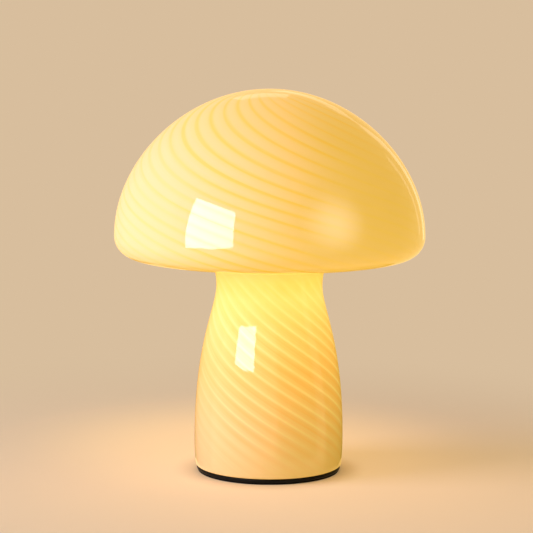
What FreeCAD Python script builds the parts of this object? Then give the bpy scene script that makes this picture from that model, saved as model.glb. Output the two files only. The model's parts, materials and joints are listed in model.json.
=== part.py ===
import FreeCAD
import Part
import math
import os

# Mushroom table lamp: one blown glass body, cap and stem together, over a black base that carries
# a small screw lampholder and a round lamp. Millimetres, +Z up, origin on the table under the
# lamp's axis. The cord entry faces +Y, the back. Every piece is a solid of its own.

Vector = FreeCAD.Vector
ORIGIN = Vector(0, 0, 0)
UP = Vector(0, 0, 1)
BACK = Vector(0, 1, 0)

# ---- driving sizes, measured on the photograph with the cap's width as 185 mm ----
HEIGHT = 229.0                # table to the top of the cap
CAP_RADIUS = 92.5
CAP_WIDEST_Z = 142.0
CAP_LIP_RADIUS = 12.3         # the rounded lip, seen from the side
NECK_RADIUS = 31.7
NECK_Z = 112.0
STEM_RADIUS = 44.6            # the stem's fullest place
STEM_WIDEST_Z = 20.0
FOOT_TURN_IN = 0.7            # how far the ground edge stands inside the fullest place
GLASS_WALL = 3.0
GLASS_EDGE_ROUND = 1.0

# ---- fullness of the glass's curves, each a share of the curve's own reach ----
ROUND = 0.5523                # makes a quarter curve a circle's
DOME_SIDE = 0.50
UNDERSIDE_REACH = 0.83
UNDERSIDE_RISE = 1.05
NECK_REACH = 0.15
STEM_REACH = 0.63

# ---- base ----
FOOT_RING_HEIGHT = 0.9
FOOT_RING_INSET = 0.8
FOOT_RING_WIDTH = 3.0
BASE_INSET = 0.7              # the flange stands this far inside the glass's outside
FLANGE_THICKNESS = 2.0
FLANGE_EDGE_ROUND = 0.9
FLANGE_TOP_ROUND = 0.3
SEAT_RING_HEIGHT = 0.5
SEAT_RING_INSET = 0.4
BOSS_CLEARANCE = 0.6          # between the raised boss and the inside of the glass
BOSS_TOP_Z = 18.0
BOSS_ROUND = 2.0
BASE_WALL = 1.6
COVER_THICKNESS = 1.0
COVER_CLEARANCE = 0.4
COVER_RECESS = 1.1
POST_RADIUS = 3.6
POST_FROM_WALL = 4.1
POST_ANGLES = (60, 120, 210, 330)
COVER_SCREW_RADIUS = 1.45
COVER_SCREW_DEPTH = 8.0
SCREW_HEAD_RADIUS = 2.8
SCREW_HEAD_HEIGHT = 1.2
FIT = 0.05                    # radial play of a fixed pin or screw in its hole

# ---- cord entry ----
CORD_BORE_RADIUS = 3.1
GROMMET_WALL = 0.75
GROMMET_COLLAR_WALL = 1.4
GROMMET_FLANGE_WALL = 1.7
GROMMET_FLANGE_THICKNESS = 1.5
GROMMET_STANDS_OUT = 1.4      # past the glass
GROMMET_ROUND = 0.7
NOTCH_CLEARANCE = 0.4
NOTCH_CORNER = 3.0            # round of the notch's two top corners

# ---- clips that hold the glass ----
CLIP_ANGLES = (30, 150, 270)
CLIP_THICKNESS = 0.5
CLIP_WIDTH = 8.0
CLIP_FOOT_LENGTH = 12.0
CLIP_RIVET_FROM_END = 3.6
CLIP_CLEARANCE = 0.5
CLIP_RISE = 13.0              # height of the clip's bow above the base
CLIP_TIP_RISE = 20.0
CLIP_TIP_TURN_IN = 1.6
CLIP_BEND_RADIUS = 1.6
CLIP_BOW_RADIUS = 6.0
RIVET_RADIUS = 1.6
RIVET_HEAD_RADIUS = 2.8
RIVET_HEAD_HEIGHT = 0.9

# ---- threaded tube that carries the lampholder ----
TUBE_RADIUS = 5.0
TUBE_WALL = 1.0
NUT_WIDTH = 2.0                # from the tube to each flat
NUT_THICKNESS = 2.6
WASHER_WIDTH = 3.5
WASHER_THICKNESS = 0.8
WASHER_TEETH = 12
TUBE_BELOW_NUT = 0.6
COLLAR_WIDTH = 7.0
COLLAR_HEIGHT = 3.0
COLLAR_CHAMFER = 1.0

# ---- lampholder, heights counted from its underside ----
HOLDER_RADIUS = 13.5
HOLDER_WALL = 2.0
HOLDER_NECK_WALL = 3.6
HOLDER_NECK_TOP = 4.0
HOLDER_SHOULDER = 9.0
HOLDER_ENTRY = 6.0            # length of the thread that the tube screws into
HOLDER_SPLIT = 23.0           # where the cap meets the body
HOLDER_HEIGHT = 51.5
HOLDER_MOUTH_CLEARANCE = 1.3   # round the lamp's skirt
HOLDER_TOP_RADIUS = 11.5
HOLDER_TOP_CHAMFER = 1.0
HOLDER_TAPER_START = 35.5
HOLDER_GROOVE = 0.7
HOLDER_GROOVES = (27.0, 30.0, 33.0)
INSERT_BOTTOM = 13.5
INSERT_TOP = 31.0              # the threaded shell stands on it
INSERT_SOCKET_ROOF = 3.0
INSERT_BORE = 2.0
SHELL_TOP = 47.0
LOCK_SCREW_RADIUS = 1.5
LOCK_SCREW_Z = 3.0
LOCK_SCREW_STANDS_OUT = 0.6
LOCK_SCREW_SLOT = 0.7
CONTACT_WIDTH = 4.0
CONTACT_THICKNESS = 0.4
CONTACT_REACH = 5.0
CONTACT_GAP = 0.3             # the lamp's tip stops this far above the sprung contact
TERMINAL_SCREW_RADIUS = 1.2
TERMINAL_HEAD_RADIUS = 2.2
TERMINAL_HEAD_HEIGHT = 1.6
TERMINAL_HEAD_Y = 6.5          # the head's underside, in front of the axis
TERMINAL_SCREW_RISE = 3.0      # above the insert's underside

# ---- E14 thread: a round ridge on the lamp's cap in a round groove in the holder's shell ----
THREAD_PITCH = 25.4 / 9
THREAD_CORE_RADIUS = 6.25
THREAD_RIDGE_RADIUS = 0.8
THREAD_RIDGE_INSET = 0.15      # the ridge's centre stands this far inside the core's surface
THREAD_CLEARANCE = 0.25
THREAD_TURNS = 3.5
SHELL_WALL = 0.55             # outside the groove

# ---- lamp, a G45 globe, heights counted from its tip ----
TIP_Z = 33.6                  # above the holder's underside
TIP_RADIUS = 2.4
TIP_HEIGHT = 3.4
TIP_DOME = 0.8
INSULATOR_BOTTOM = 1.0
INSULATOR_TOP = 4.4
INSULATOR_FACE = 0.9
INSULATOR_EDGE = 0.8
CAP_SHELL_TOP = 21.0
CAP_SHELL_WALL = 0.5
CAP_SKIRT_BOTTOM = 17.6
CAP_SKIRT_STANDS_OUT = 0.65
CAP_SKIRT_STEP = 0.6
THREAD_START = 5.8
HOUSING_SPIGOT_BOTTOM = 12.0
HOUSING_SPIGOT_WALL = 1.1
HOUSING_NECK_STANDS_OUT = 0.5
HOUSING_WALL = 1.6
HOUSING_SHARPNESS = 0.55
GLOBE_RADIUS = 22.5
GLOBE_WALL = 1.2
GLOBE_MOUTH_BELOW = 8.0        # the globe's mouth, under its centre
BOARD_BELOW_MOUTH = 3.5
BOARD_THICKNESS = 1.2
BOARD_EDGE_GAP = 1.6
BOARD_LEDGE_HEIGHT = 1.4
LAMP_LENGTH = 78.0
LED_COUNT = 8
LED_CIRCLE = 11.0
LED_SIDE = 3.0
LED_HEIGHT = 0.8
DRIVER_THICKNESS = 1.2
DRIVER_WIDTH = 11.0
DRIVER_TAIL_CLEARANCE = 0.4
DRIVER_TONGUE_WIDTH = 7.6
DRIVER_TONGUE_RISE = 1.0
DRIVER_SLOT_CLEARANCE = 0.2
DRIVER_BOTTOM = 13.0
DRIVER_SHOULDER = 26.0
CAPACITOR_RADIUS = 2.4
CAPACITOR_LENGTH = 10.0
CAPACITOR_X = 2.6
CAPACITOR_ABOVE_SHOULDER = 4.0
COIL_X = 5.0
COIL_Y = 3.6
COIL_Z = 6.0
COIL_ABOVE_SHOULDER = 6.0
RECTIFIER_X = 4.0
RECTIFIER_Y = 2.0
RECTIFIER_Z = 3.0
RECTIFIER_ABOVE_SHOULDER = 1.5

# ---- terminal block and inner leads ----
BLOCK_X = 14.0
BLOCK_Y = 13.0
BLOCK_Z = 8.5
BLOCK_FROM_WALL = 7.7
POLE_X = 3.4
BARREL_RADIUS = 2.0
BARREL_BORE = 1.05
BARREL_ABOVE_BOTTOM = 3.4
BARREL_RECESS = 1.0
BLOCK_SCREW_RADIUS = 1.2
BLOCK_SCREW_OFFSET = 3.5
BLOCK_SCREW_GAP = 0.5
BLOCK_SCREW_STANDS_OUT = 0.4
BLOCK_SCREW_HEAD = 1.0
FIXING_SCREW_RADIUS = 1.4
FIXING_SCREW_HEAD_RADIUS = 2.3
FIXING_SCREW_BITE = 1.2
LEAD_RADIUS = 0.9
LEAD_IN_BARREL = 3.0
LEAD_FLOOR_GAP = 0.6
LEAD_STRAIGHT = 2.0
LEAD_CORNER = 6.0             # each side of a chamfered corner of the route
LEAD_SPREAD = 4.0
LEAD_IN_TUBE_X = 1.3
LEAD_TERMINAL_X = 5.5
LEAD_TERMINAL_DEPTH = 4.3
ARC_SHARE = 0.45              # of the shorter run, given to each bend

# ---- places that follow from the sizes above ----
FLANGE_TOP_Z = FOOT_RING_HEIGHT + FLANGE_THICKNESS
GLASS_FOOT_Z = FLANGE_TOP_Z + SEAT_RING_HEIGHT
FOOT_RADIUS = STEM_RADIUS - FOOT_TURN_IN
FOOT_BORE = FOOT_RADIUS - GLASS_WALL
BASE_RADIUS = FOOT_RADIUS - BASE_INSET
BOSS_RADIUS = FOOT_BORE - BOSS_CLEARANCE
CAVITY_RADIUS = BOSS_RADIUS - BASE_WALL
CAVITY_TOP_Z = BOSS_TOP_Z - BASE_WALL
COVER_Z = FOOT_RING_HEIGHT + COVER_RECESS
POST_BOTTOM_Z = COVER_Z + COVER_THICKNESS
POST_CIRCLE = CAVITY_RADIUS - POST_RADIUS - POST_FROM_WALL
CORD_Z = (POST_BOTTOM_Z + CAVITY_TOP_Z) / 2
GROMMET_NECK_RADIUS = CORD_BORE_RADIUS + GROMMET_WALL
GROMMET_COLLAR_RADIUS = CORD_BORE_RADIUS + GROMMET_COLLAR_WALL
GROMMET_FLANGE_RADIUS = CORD_BORE_RADIUS + GROMMET_FLANGE_WALL
NOTCH_REACH = GROMMET_COLLAR_RADIUS + NOTCH_CLEARANCE
CLIP_HEEL = BOSS_RADIUS - BOSS_ROUND - CLIP_THICKNESS
CLIP_FOOT_START = CLIP_HEEL - CLIP_FOOT_LENGTH
CLIP_RIVET_CIRCLE = CLIP_FOOT_START + CLIP_RIVET_FROM_END
TUBE_BORE = TUBE_RADIUS - TUBE_WALL
COLLAR_RADIUS = TUBE_RADIUS + COLLAR_WIDTH
HOLDER_NECK_RADIUS = TUBE_RADIUS + FIT + HOLDER_NECK_WALL
NUT_TOP_Z = CAVITY_TOP_Z - WASHER_THICKNESS
TUBE_BOTTOM_Z = NUT_TOP_Z - NUT_THICKNESS - TUBE_BELOW_NUT
HOLDER_Z = BOSS_TOP_Z + COLLAR_HEIGHT
TUBE_TOP_Z = HOLDER_Z + HOLDER_ENTRY - TUBE_BELOW_NUT
LAMP_Z = HOLDER_Z + TIP_Z
THREAD_RIDGE_CENTRE = THREAD_CORE_RADIUS - THREAD_RIDGE_INSET
CAP_SKIRT_RADIUS = THREAD_CORE_RADIUS + CAP_SKIRT_STANDS_OUT
HOLDER_MOUTH_RADIUS = CAP_SKIRT_RADIUS + HOLDER_MOUTH_CLEARANCE
HOUSING_NECK_RADIUS = CAP_SKIRT_RADIUS + HOUSING_NECK_STANDS_OUT
HOUSING_SPIGOT_RADIUS = THREAD_CORE_RADIUS - CAP_SHELL_WALL - FIT
HOUSING_BORE = HOUSING_SPIGOT_RADIUS - HOUSING_SPIGOT_WALL
DRIVER_TAIL_WIDTH = 2 * (HOUSING_BORE - DRIVER_TAIL_CLEARANCE)
SHELL_CORE_RADIUS = THREAD_CORE_RADIUS + THREAD_CLEARANCE
GROOVE_RADIUS = THREAD_RIDGE_RADIUS + THREAD_CLEARANCE
SHELL_RADIUS = THREAD_RIDGE_CENTRE + GROOVE_RADIUS + SHELL_WALL
GLOBE_CENTRE = LAMP_LENGTH - GLOBE_RADIUS
HOUSING_TOP = GLOBE_CENTRE - GLOBE_MOUTH_BELOW
HOUSING_TOP_RADIUS = math.sqrt(GLOBE_RADIUS ** 2 - GLOBE_MOUTH_BELOW ** 2)
BOARD_Z = HOUSING_TOP - BOARD_BELOW_MOUTH
BOARD_RADIUS = HOUSING_TOP_RADIUS - HOUSING_WALL - BOARD_EDGE_GAP
BLOCK_CENTRE_Y = CAVITY_RADIUS - BLOCK_FROM_WALL - BLOCK_Y / 2
BLOCK_BOTTOM_Z = CAVITY_TOP_Z - BLOCK_Z
BARREL_Z = BLOCK_BOTTOM_Z + BARREL_ABOVE_BOTTOM


# ---- small helpers ----
def cylinder(radius, z_low, z_high, x=0.0, y=0.0):
    """An upright cylinder between two heights."""
    return Part.makeCylinder(radius, z_high - z_low, Vector(x, y, z_low))


def ring(outer, inner, z_low, z_high):
    """An upright tube between two heights."""
    return cylinder(outer, z_low, z_high).cut(cylinder(inner, z_low - 1, z_high + 1))


def rod(radius, start, end):
    """A cylinder from one point to another."""
    return Part.makeCylinder(radius, (end - start).Length, start, end - start)


def block(size_x, size_y, z_low, z_high, x=0.0, y=0.0):
    """A box centred on x and y, between two heights."""
    corner = Vector(x - size_x / 2, y - size_y / 2, z_low)
    return Part.makeBox(size_x, size_y, z_high - z_low, corner)


def on_circle(radius, degrees, z=0.0):
    """The point at an angle on a level circle round the lamp's axis."""
    angle = math.radians(degrees)
    return Vector(radius * math.cos(angle), radius * math.sin(angle), z)


def line(start, end):
    """A straight edge in the r-z plane."""
    return Part.makeLine(Vector(start[0], 0, start[1]), Vector(end[0], 0, end[1]))


def arc(start, middle, end):
    """A round edge through three (r, z) points."""
    points = [Vector(p[0], 0, p[1]) for p in (start, middle, end)]
    return Part.Arc(*points).toShape()


def curve(*poles):
    """A Bezier edge with these (r, z) poles."""
    bezier = Part.BezierCurve()
    bezier.setPoles([Vector(p[0], 0, p[1]) for p in poles])
    return bezier.toShape()


def quarter(corner, start, end):
    """A round edge that cuts the corner between two (r, z) points, square to both."""
    share = 1 - math.sqrt(0.5)
    middle = [s + e - c + (c - (s + e - c)) * (1 - share) for s, e, c in zip(start, end, corner)]
    return arc(start, middle, end)


def turned(edges):
    """The solid that these edges of a closed r-z outline sweep round the lamp's axis."""
    face = Part.Face(Part.Wire(Part.__sortEdges__(edges)))
    return solid_of(face.revolve(ORIGIN, UP, 360))


def turned_outline(points):
    """The turned solid of a closed outline of straight (r, z) runs."""
    closed = list(points) + [points[0]]
    return turned([line(a, b) for a, b in zip(closed, closed[1:])])


def solid_of(shape):
    """One valid solid from a shape that holds one."""
    solid = shape.Solids[0]
    if solid.Volume < 0:
        solid.reverse()
    return solid


def rounded_path(points, radii):
    """A wire of straight runs through the points, with a tangent arc at each inner point."""
    edges = []
    last = points[0]
    for before, corner, after, radius in zip(points, points[1:], points[2:], radii):
        into = (corner - before).normalize()
        out = (after - corner).normalize()
        half_turn = into.getAngle(out) / 2
        reach = radius * math.tan(half_turn)
        start = corner - into * reach
        end = corner + out * reach
        bisector = (out - into).normalize()
        middle = corner + bisector * (radius / math.cos(half_turn) - radius)
        edges.append(Part.LineSegment(last, start).toShape())
        edges.append(Part.Arc(start, middle, end).toShape())
        last = end
    edges.append(Part.LineSegment(last, points[-1]).toShape())
    return Part.Wire(edges)


def free_radii(points):
    """The bend radius at each inner point: the largest that the shorter run leaves room for."""
    radii = []
    for before, corner, after in zip(points, points[1:], points[2:]):
        into = corner - before
        out = after - corner
        shorter = min(into.Length, out.Length)
        radii.append(ARC_SHARE * shorter / math.tan(into.getAngle(out) / 2))
    return radii


def helical_rod(section_radius, centre_radius, z_low, turns):
    """A round rod wound on a right-handed helix of the lamp thread's pitch."""
    path = Part.makeHelix(THREAD_PITCH, THREAD_PITCH * turns, centre_radius)
    path.translate(Vector(0, 0, z_low))
    section = Part.Wire(Part.makeCircle(section_radius, Vector(centre_radius, 0, z_low), BACK))
    return solid_of(Part.Wire(path.Edges).makePipeShell([section], True, True))


def strip_above(path, thickness, width):
    """A bent strip of metal whose underside follows a path in the x-z plane from its low end."""
    strip = path.makeOffset2D(-thickness, 0, True, True, True)
    if strip.BoundBox.ZMin < path.BoundBox.ZMin - thickness / 2:
        strip = path.makeOffset2D(thickness, 0, True, True, True)
    strip.translate(BACK * (-width / 2))
    return solid_of(strip.Faces[0].extrude(BACK * width))


def export(name, *solids):
    """Writes a node's solids to its own file."""
    shape = solids[0] if len(solids) == 1 else Part.makeCompound(list(solids))
    shape.exportStep(os.path.join("parts", name + ".step"))


# ---- glass ----
def glass_curves(inset):
    """The glass's outline from the top of the cap to the stem's fullest place, moved in by inset."""
    lip_bottom_z = CAP_WIDEST_Z - CAP_LIP_RADIUS + inset
    lip_r = CAP_RADIUS - CAP_LIP_RADIUS
    top = (0.0, HEIGHT - inset)
    widest = (CAP_RADIUS - inset, CAP_WIDEST_Z)
    lip = (lip_r, lip_bottom_z)
    neck = (NECK_RADIUS - inset, NECK_Z)
    stem = (STEM_RADIUS if inset == 0 else FOOT_BORE, STEM_WIDEST_Z)
    rise = top[1] - widest[1]
    round_r = widest[0] - lip[0]
    round_z = widest[1] - lip[1]
    under_r = lip[0] - neck[0]
    under_z = lip[1] - neck[1]
    drop = neck[1] - stem[1]
    return [
        curve(top, (ROUND * widest[0], top[1]), (widest[0], widest[1] + DOME_SIDE * rise), widest),
        curve(widest, (widest[0], widest[1] - ROUND * round_z), (lip[0] + ROUND * round_r, lip[1]), lip),
        curve(lip, (lip[0] - UNDERSIDE_REACH * under_r, lip[1]),
              (neck[0], neck[1] + UNDERSIDE_RISE * under_z), neck),
        curve(neck, (neck[0], neck[1] - NECK_REACH * drop), (stem[0], stem[1] + STEM_REACH * drop), stem),
    ]


def glass_body():
    """The blown cap and stem in one piece, open at its foot, with a notch for the cord."""
    rim = GLASS_EDGE_ROUND
    foot_z = GLASS_FOOT_Z
    outer = glass_curves(0)
    inner = glass_curves(GLASS_WALL)
    outer_low = (FOOT_RADIUS, foot_z + rim)
    inner_low = (FOOT_BORE, foot_z + rim)
    stem = (STEM_RADIUS, STEM_WIDEST_Z)
    taper = (STEM_RADIUS, (STEM_WIDEST_Z + foot_z) / 2)
    edges = outer + [
        curve(stem, taper, outer_low),
        quarter((FOOT_RADIUS, foot_z), outer_low, (FOOT_RADIUS - rim, foot_z)),
        line((FOOT_RADIUS - rim, foot_z), (FOOT_BORE + rim, foot_z)),
        quarter((FOOT_BORE, foot_z), (FOOT_BORE + rim, foot_z), inner_low),
        line(inner_low, (FOOT_BORE, STEM_WIDEST_Z)),
    ] + inner + [line((0, HEIGHT - GLASS_WALL), (0, HEIGHT))]
    glass = turned(edges)
    deep = 2 * STEM_RADIUS
    notch = block(2 * NOTCH_REACH, deep, foot_z - 1, CORD_Z + NOTCH_REACH, y=deep / 2)
    tops = [e for e in notch.Edges if e.BoundBox.YLength > deep / 2 and e.BoundBox.ZMin > CORD_Z]
    return solid_of(glass.cut(notch.makeFillet(NOTCH_CORNER, tops)))


# ---- base ----
def base_plate():
    """The black base: a thin flange under the glass and a hollow boss inside it."""
    edge = FLANGE_EDGE_ROUND
    lip = FLANGE_TOP_ROUND
    low = FOOT_RING_HEIGHT
    edges = [
        line((CAVITY_RADIUS, low), (BASE_RADIUS - edge, low)),
        quarter((BASE_RADIUS, low), (BASE_RADIUS - edge, low), (BASE_RADIUS, low + edge)),
        line((BASE_RADIUS, low + edge), (BASE_RADIUS, FLANGE_TOP_Z - lip)),
        quarter((BASE_RADIUS, FLANGE_TOP_Z), (BASE_RADIUS, FLANGE_TOP_Z - lip),
                (BASE_RADIUS - lip, FLANGE_TOP_Z)),
        line((BASE_RADIUS - lip, FLANGE_TOP_Z), (BOSS_RADIUS, FLANGE_TOP_Z)),
        line((BOSS_RADIUS, FLANGE_TOP_Z), (BOSS_RADIUS, BOSS_TOP_Z - BOSS_ROUND)),
        quarter((BOSS_RADIUS, BOSS_TOP_Z), (BOSS_RADIUS, BOSS_TOP_Z - BOSS_ROUND),
                (BOSS_RADIUS - BOSS_ROUND, BOSS_TOP_Z)),
        line((BOSS_RADIUS - BOSS_ROUND, BOSS_TOP_Z), (0, BOSS_TOP_Z)),
        line((0, BOSS_TOP_Z), (0, CAVITY_TOP_Z)),
        line((0, CAVITY_TOP_Z), (CAVITY_RADIUS, CAVITY_TOP_Z)),
        line((CAVITY_RADIUS, CAVITY_TOP_Z), (CAVITY_RADIUS, low)),
    ]
    plate = turned(edges)
    middle_z = (CAVITY_TOP_Z + BOSS_TOP_Z) / 2
    for angle in POST_ANGLES:
        at = on_circle(POST_CIRCLE, angle)
        plate = plate.fuse(cylinder(POST_RADIUS, POST_BOTTOM_Z, middle_z, at.x, at.y))
    holes = [cylinder(TUBE_RADIUS + FIT, 0, HEIGHT)]
    for angle in POST_ANGLES:
        at = on_circle(POST_CIRCLE, angle)
        holes.append(cylinder(COVER_SCREW_RADIUS, 0, POST_BOTTOM_Z + COVER_SCREW_DEPTH, at.x, at.y))
    for angle in CLIP_ANGLES:
        at = on_circle(CLIP_RIVET_CIRCLE, angle)
        holes.append(cylinder(RIVET_RADIUS + FIT, 0, HEIGHT, at.x, at.y))
    holes.append(cylinder(FIXING_SCREW_RADIUS + FIT, 0, CAVITY_TOP_Z + FIXING_SCREW_BITE, y=BLOCK_CENTRE_Y))
    inside = Vector(0, BLOCK_CENTRE_Y, CORD_Z)
    holes.append(rod(GROMMET_NECK_RADIUS + FIT, inside, Vector(0, BASE_RADIUS, CORD_Z)))
    for hole in holes:
        plate = plate.cut(hole)
    return solid_of(plate)


def foot_ring():
    """The soft black ring that the lamp stands on."""
    outer = BASE_RADIUS - FOOT_RING_INSET
    return ring(outer, outer - FOOT_RING_WIDTH, 0, FOOT_RING_HEIGHT)


def glass_seat_ring():
    """The thin soft ring between the base's flange and the glass's ground edge."""
    outer = BASE_RADIUS - SEAT_RING_INSET
    return ring(outer, BOSS_RADIUS + BOSS_CLEARANCE / 2, FLANGE_TOP_Z, GLASS_FOOT_Z)


def bottom_cover():
    """The plate that closes the base from below."""
    cover = cylinder(CAVITY_RADIUS - COVER_CLEARANCE, COVER_Z, POST_BOTTOM_Z)
    for angle in POST_ANGLES:
        at = on_circle(POST_CIRCLE, angle)
        cover = cover.cut(cylinder(COVER_SCREW_RADIUS + FIT, 0, HEIGHT, at.x, at.y))
    return solid_of(cover)


def slotted_screw(radius, head_radius, head_height, length, at, up):
    """A slotted screw whose head's outer face is at a point and whose shank goes on along up."""
    head = rod(head_radius, at, at + up * head_height)
    shank = rod(radius, at + up * (head_height / 2), at + up * (head_height + length))
    slot = block(3 * head_radius, head_height / 2, -head_height / 2, head_height / 2)
    slot.Placement = FreeCAD.Placement(at, FreeCAD.Rotation(UP, up))
    return solid_of(head.fuse(shank).cut(slot))


def cover_screws():
    """The screws that hold the bottom cover to the base's posts."""
    start = COVER_Z - SCREW_HEAD_HEIGHT
    length = POST_BOTTOM_Z + COVER_SCREW_DEPTH - 1 - COVER_Z
    return [
        slotted_screw(COVER_SCREW_RADIUS - FIT, SCREW_HEAD_RADIUS, SCREW_HEAD_HEIGHT, length,
                      on_circle(POST_CIRCLE, angle, start), UP)
        for angle in POST_ANGLES
    ]


def cord_grommet():
    """The rubber bush in the boss's wall, standing in the glass's notch, that a cord enters through."""
    inner_face = math.sqrt(CAVITY_RADIUS ** 2 - GROMMET_FLANGE_RADIUS ** 2) - FIT
    collar_face = BOSS_RADIUS + FIT
    end = STEM_RADIUS + GROMMET_STANDS_OUT
    start = inner_face - GROMMET_FLANGE_THICKNESS
    flange = rod(GROMMET_FLANGE_RADIUS, Vector(0, start, CORD_Z), Vector(0, inner_face, CORD_Z))
    neck = rod(GROMMET_NECK_RADIUS, Vector(0, start, CORD_Z), Vector(0, end, CORD_Z))
    collar = rod(GROMMET_COLLAR_RADIUS, Vector(0, collar_face, CORD_Z), Vector(0, end, CORD_Z))
    rims = [e for e in collar.Edges if abs(e.BoundBox.YMin - end) < FIT and e.BoundBox.YLength < FIT]
    collar = collar.makeFillet(GROMMET_ROUND, rims)
    bore = rod(CORD_BORE_RADIUS, Vector(0, start - 1, CORD_Z), Vector(0, end + 1, CORD_Z))
    return solid_of(flange.fuse(neck).fuse(collar).cut(bore))


def glass_clips():
    """Three sprung steel strips, riveted to the boss, that bow out to the inside of the glass."""
    bow = FOOT_BORE - CLIP_CLEARANCE
    low = BOSS_TOP_Z
    points = [
        Vector(CLIP_FOOT_START, 0, low),
        Vector(CLIP_HEEL, 0, low),
        Vector(bow, 0, low + CLIP_RISE),
        Vector(CLIP_HEEL - CLIP_TIP_TURN_IN, 0, low + CLIP_TIP_RISE),
    ]
    clip = strip_above(rounded_path(points, (CLIP_BEND_RADIUS, CLIP_BOW_RADIUS)), CLIP_THICKNESS, CLIP_WIDTH)
    clip = clip.cut(cylinder(RIVET_RADIUS + FIT, 0, HEIGHT, CLIP_RIVET_CIRCLE))
    clips = []
    for angle in CLIP_ANGLES:
        placed = clip.copy()
        placed.rotate(ORIGIN, UP, angle)
        clips.append(solid_of(placed))
    return clips


def clip_rivets():
    """The rivet at each clip's foot."""
    low = CAVITY_TOP_Z - RIVET_HEAD_HEIGHT
    top = BOSS_TOP_Z + CLIP_THICKNESS
    rivets = []
    for angle in CLIP_ANGLES:
        at = on_circle(CLIP_RIVET_CIRCLE, angle)
        rivet = cylinder(RIVET_RADIUS, low, top + RIVET_HEAD_HEIGHT / 2, at.x, at.y)
        rivet = rivet.fuse(cylinder(RIVET_HEAD_RADIUS, low, CAVITY_TOP_Z, at.x, at.y))
        head = cylinder(RIVET_HEAD_RADIUS, top, top + RIVET_HEAD_HEIGHT, at.x, at.y)
        rims = [e for e in head.Edges if e.BoundBox.ZMin > top + RIVET_HEAD_HEIGHT / 2 and e.Closed]
        head = head.makeFillet(RIVET_HEAD_HEIGHT * 0.6, rims)
        rivets.append(solid_of(rivet.fuse(head)))
    return rivets


# ---- threaded tube and its hardware ----
def mounting_tube():
    """The threaded tube that fixes the lampholder to the base and carries the leads."""
    return ring(TUBE_RADIUS, TUBE_BORE, TUBE_BOTTOM_Z, TUBE_TOP_Z)


def tube_nut():
    """The hexagon nut under the base's top."""
    corner = 2 * (TUBE_RADIUS + NUT_WIDTH) / math.sqrt(3)
    corners = [on_circle(corner, 60 * k, NUT_TOP_Z - NUT_THICKNESS) for k in range(7)]
    prism = Part.Face(Part.makePolygon(corners)).extrude(UP * NUT_THICKNESS)
    return solid_of(prism.cut(cylinder(TUBE_RADIUS + FIT, 0, HEIGHT)))


def lock_washer():
    """The toothed washer between the nut and the base."""
    radius = TUBE_RADIUS + WASHER_WIDTH
    washer = ring(radius, TUBE_RADIUS + FIT, NUT_TOP_Z, CAVITY_TOP_Z)
    for k in range(WASHER_TEETH):
        at = on_circle(radius, 360 * k / WASHER_TEETH)
        washer = washer.cut(cylinder(WASHER_THICKNESS, 0, HEIGHT, at.x, at.y))
    return solid_of(washer)


def mounting_collar():
    """The turned collar that the lampholder stands on."""
    low = BOSS_TOP_Z
    top = HOLDER_Z
    bore = TUBE_RADIUS + FIT
    return turned_outline([
        (bore, low), (COLLAR_RADIUS, low), (COLLAR_RADIUS, top - COLLAR_CHAMFER),
        (COLLAR_RADIUS - COLLAR_CHAMFER, top), (bore, top),
    ])


# ---- lampholder ----
def holder_cap():
    """The lampholder's lower shell, screwed onto the tube."""
    z = HOLDER_Z
    inside = HOLDER_RADIUS - HOLDER_WALL
    floor = z + HOLDER_ENTRY
    cap = turned_outline([
        (TUBE_RADIUS + FIT, z), (HOLDER_NECK_RADIUS, z), (HOLDER_NECK_RADIUS, z + HOLDER_NECK_TOP),
        (HOLDER_RADIUS, z + HOLDER_SHOULDER), (HOLDER_RADIUS, z + HOLDER_SPLIT), (inside, z + HOLDER_SPLIT),
        (inside, z + HOLDER_SHOULDER), (HOLDER_NECK_RADIUS, floor), (TUBE_RADIUS + FIT, floor),
    ])
    screw_z = z + LOCK_SCREW_Z
    screw_hole = rod(LOCK_SCREW_RADIUS + FIT, Vector(0, 0, screw_z), Vector(0, -HOLDER_RADIUS, screw_z))
    return solid_of(cap.cut(screw_hole))


def holder_lock_screw():
    """The small screw that stops the lampholder turning on the tube."""
    z = HOLDER_Z + LOCK_SCREW_Z
    start = Vector(0, -TUBE_RADIUS - FIT, z)
    end = Vector(0, -HOLDER_NECK_RADIUS - LOCK_SCREW_STANDS_OUT, z)
    half_slot = LOCK_SCREW_SLOT / 2
    slot = block(3 * LOCK_SCREW_RADIUS, 2 * LOCK_SCREW_STANDS_OUT, z - half_slot, z + half_slot, y=end.y)
    return solid_of(rod(LOCK_SCREW_RADIUS, start, end).cut(slot))


def holder_body():
    """The lampholder's upper sleeve, which carries the threaded shell."""
    z = HOLDER_Z
    inside = HOLDER_RADIUS - HOLDER_WALL
    seat = SHELL_RADIUS + FIT
    body = turned_outline([
        (inside, z + HOLDER_SPLIT), (HOLDER_RADIUS, z + HOLDER_SPLIT),
        (HOLDER_RADIUS, z + HOLDER_TAPER_START),
        (HOLDER_TOP_RADIUS, z + HOLDER_HEIGHT - HOLDER_TOP_CHAMFER),
        (HOLDER_TOP_RADIUS - HOLDER_TOP_CHAMFER, z + HOLDER_HEIGHT),
        (HOLDER_MOUTH_RADIUS, z + HOLDER_HEIGHT), (HOLDER_MOUTH_RADIUS, z + SHELL_TOP + FIT),
        (seat, z + SHELL_TOP + FIT), (seat, z + INSERT_TOP + FIT), (inside, z + INSERT_TOP + FIT),
    ])
    for height in HOLDER_GROOVES:
        body = body.cut(Part.makeTorus(HOLDER_RADIUS, HOLDER_GROOVE, Vector(0, 0, z + height)))
    return solid_of(body)


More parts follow.
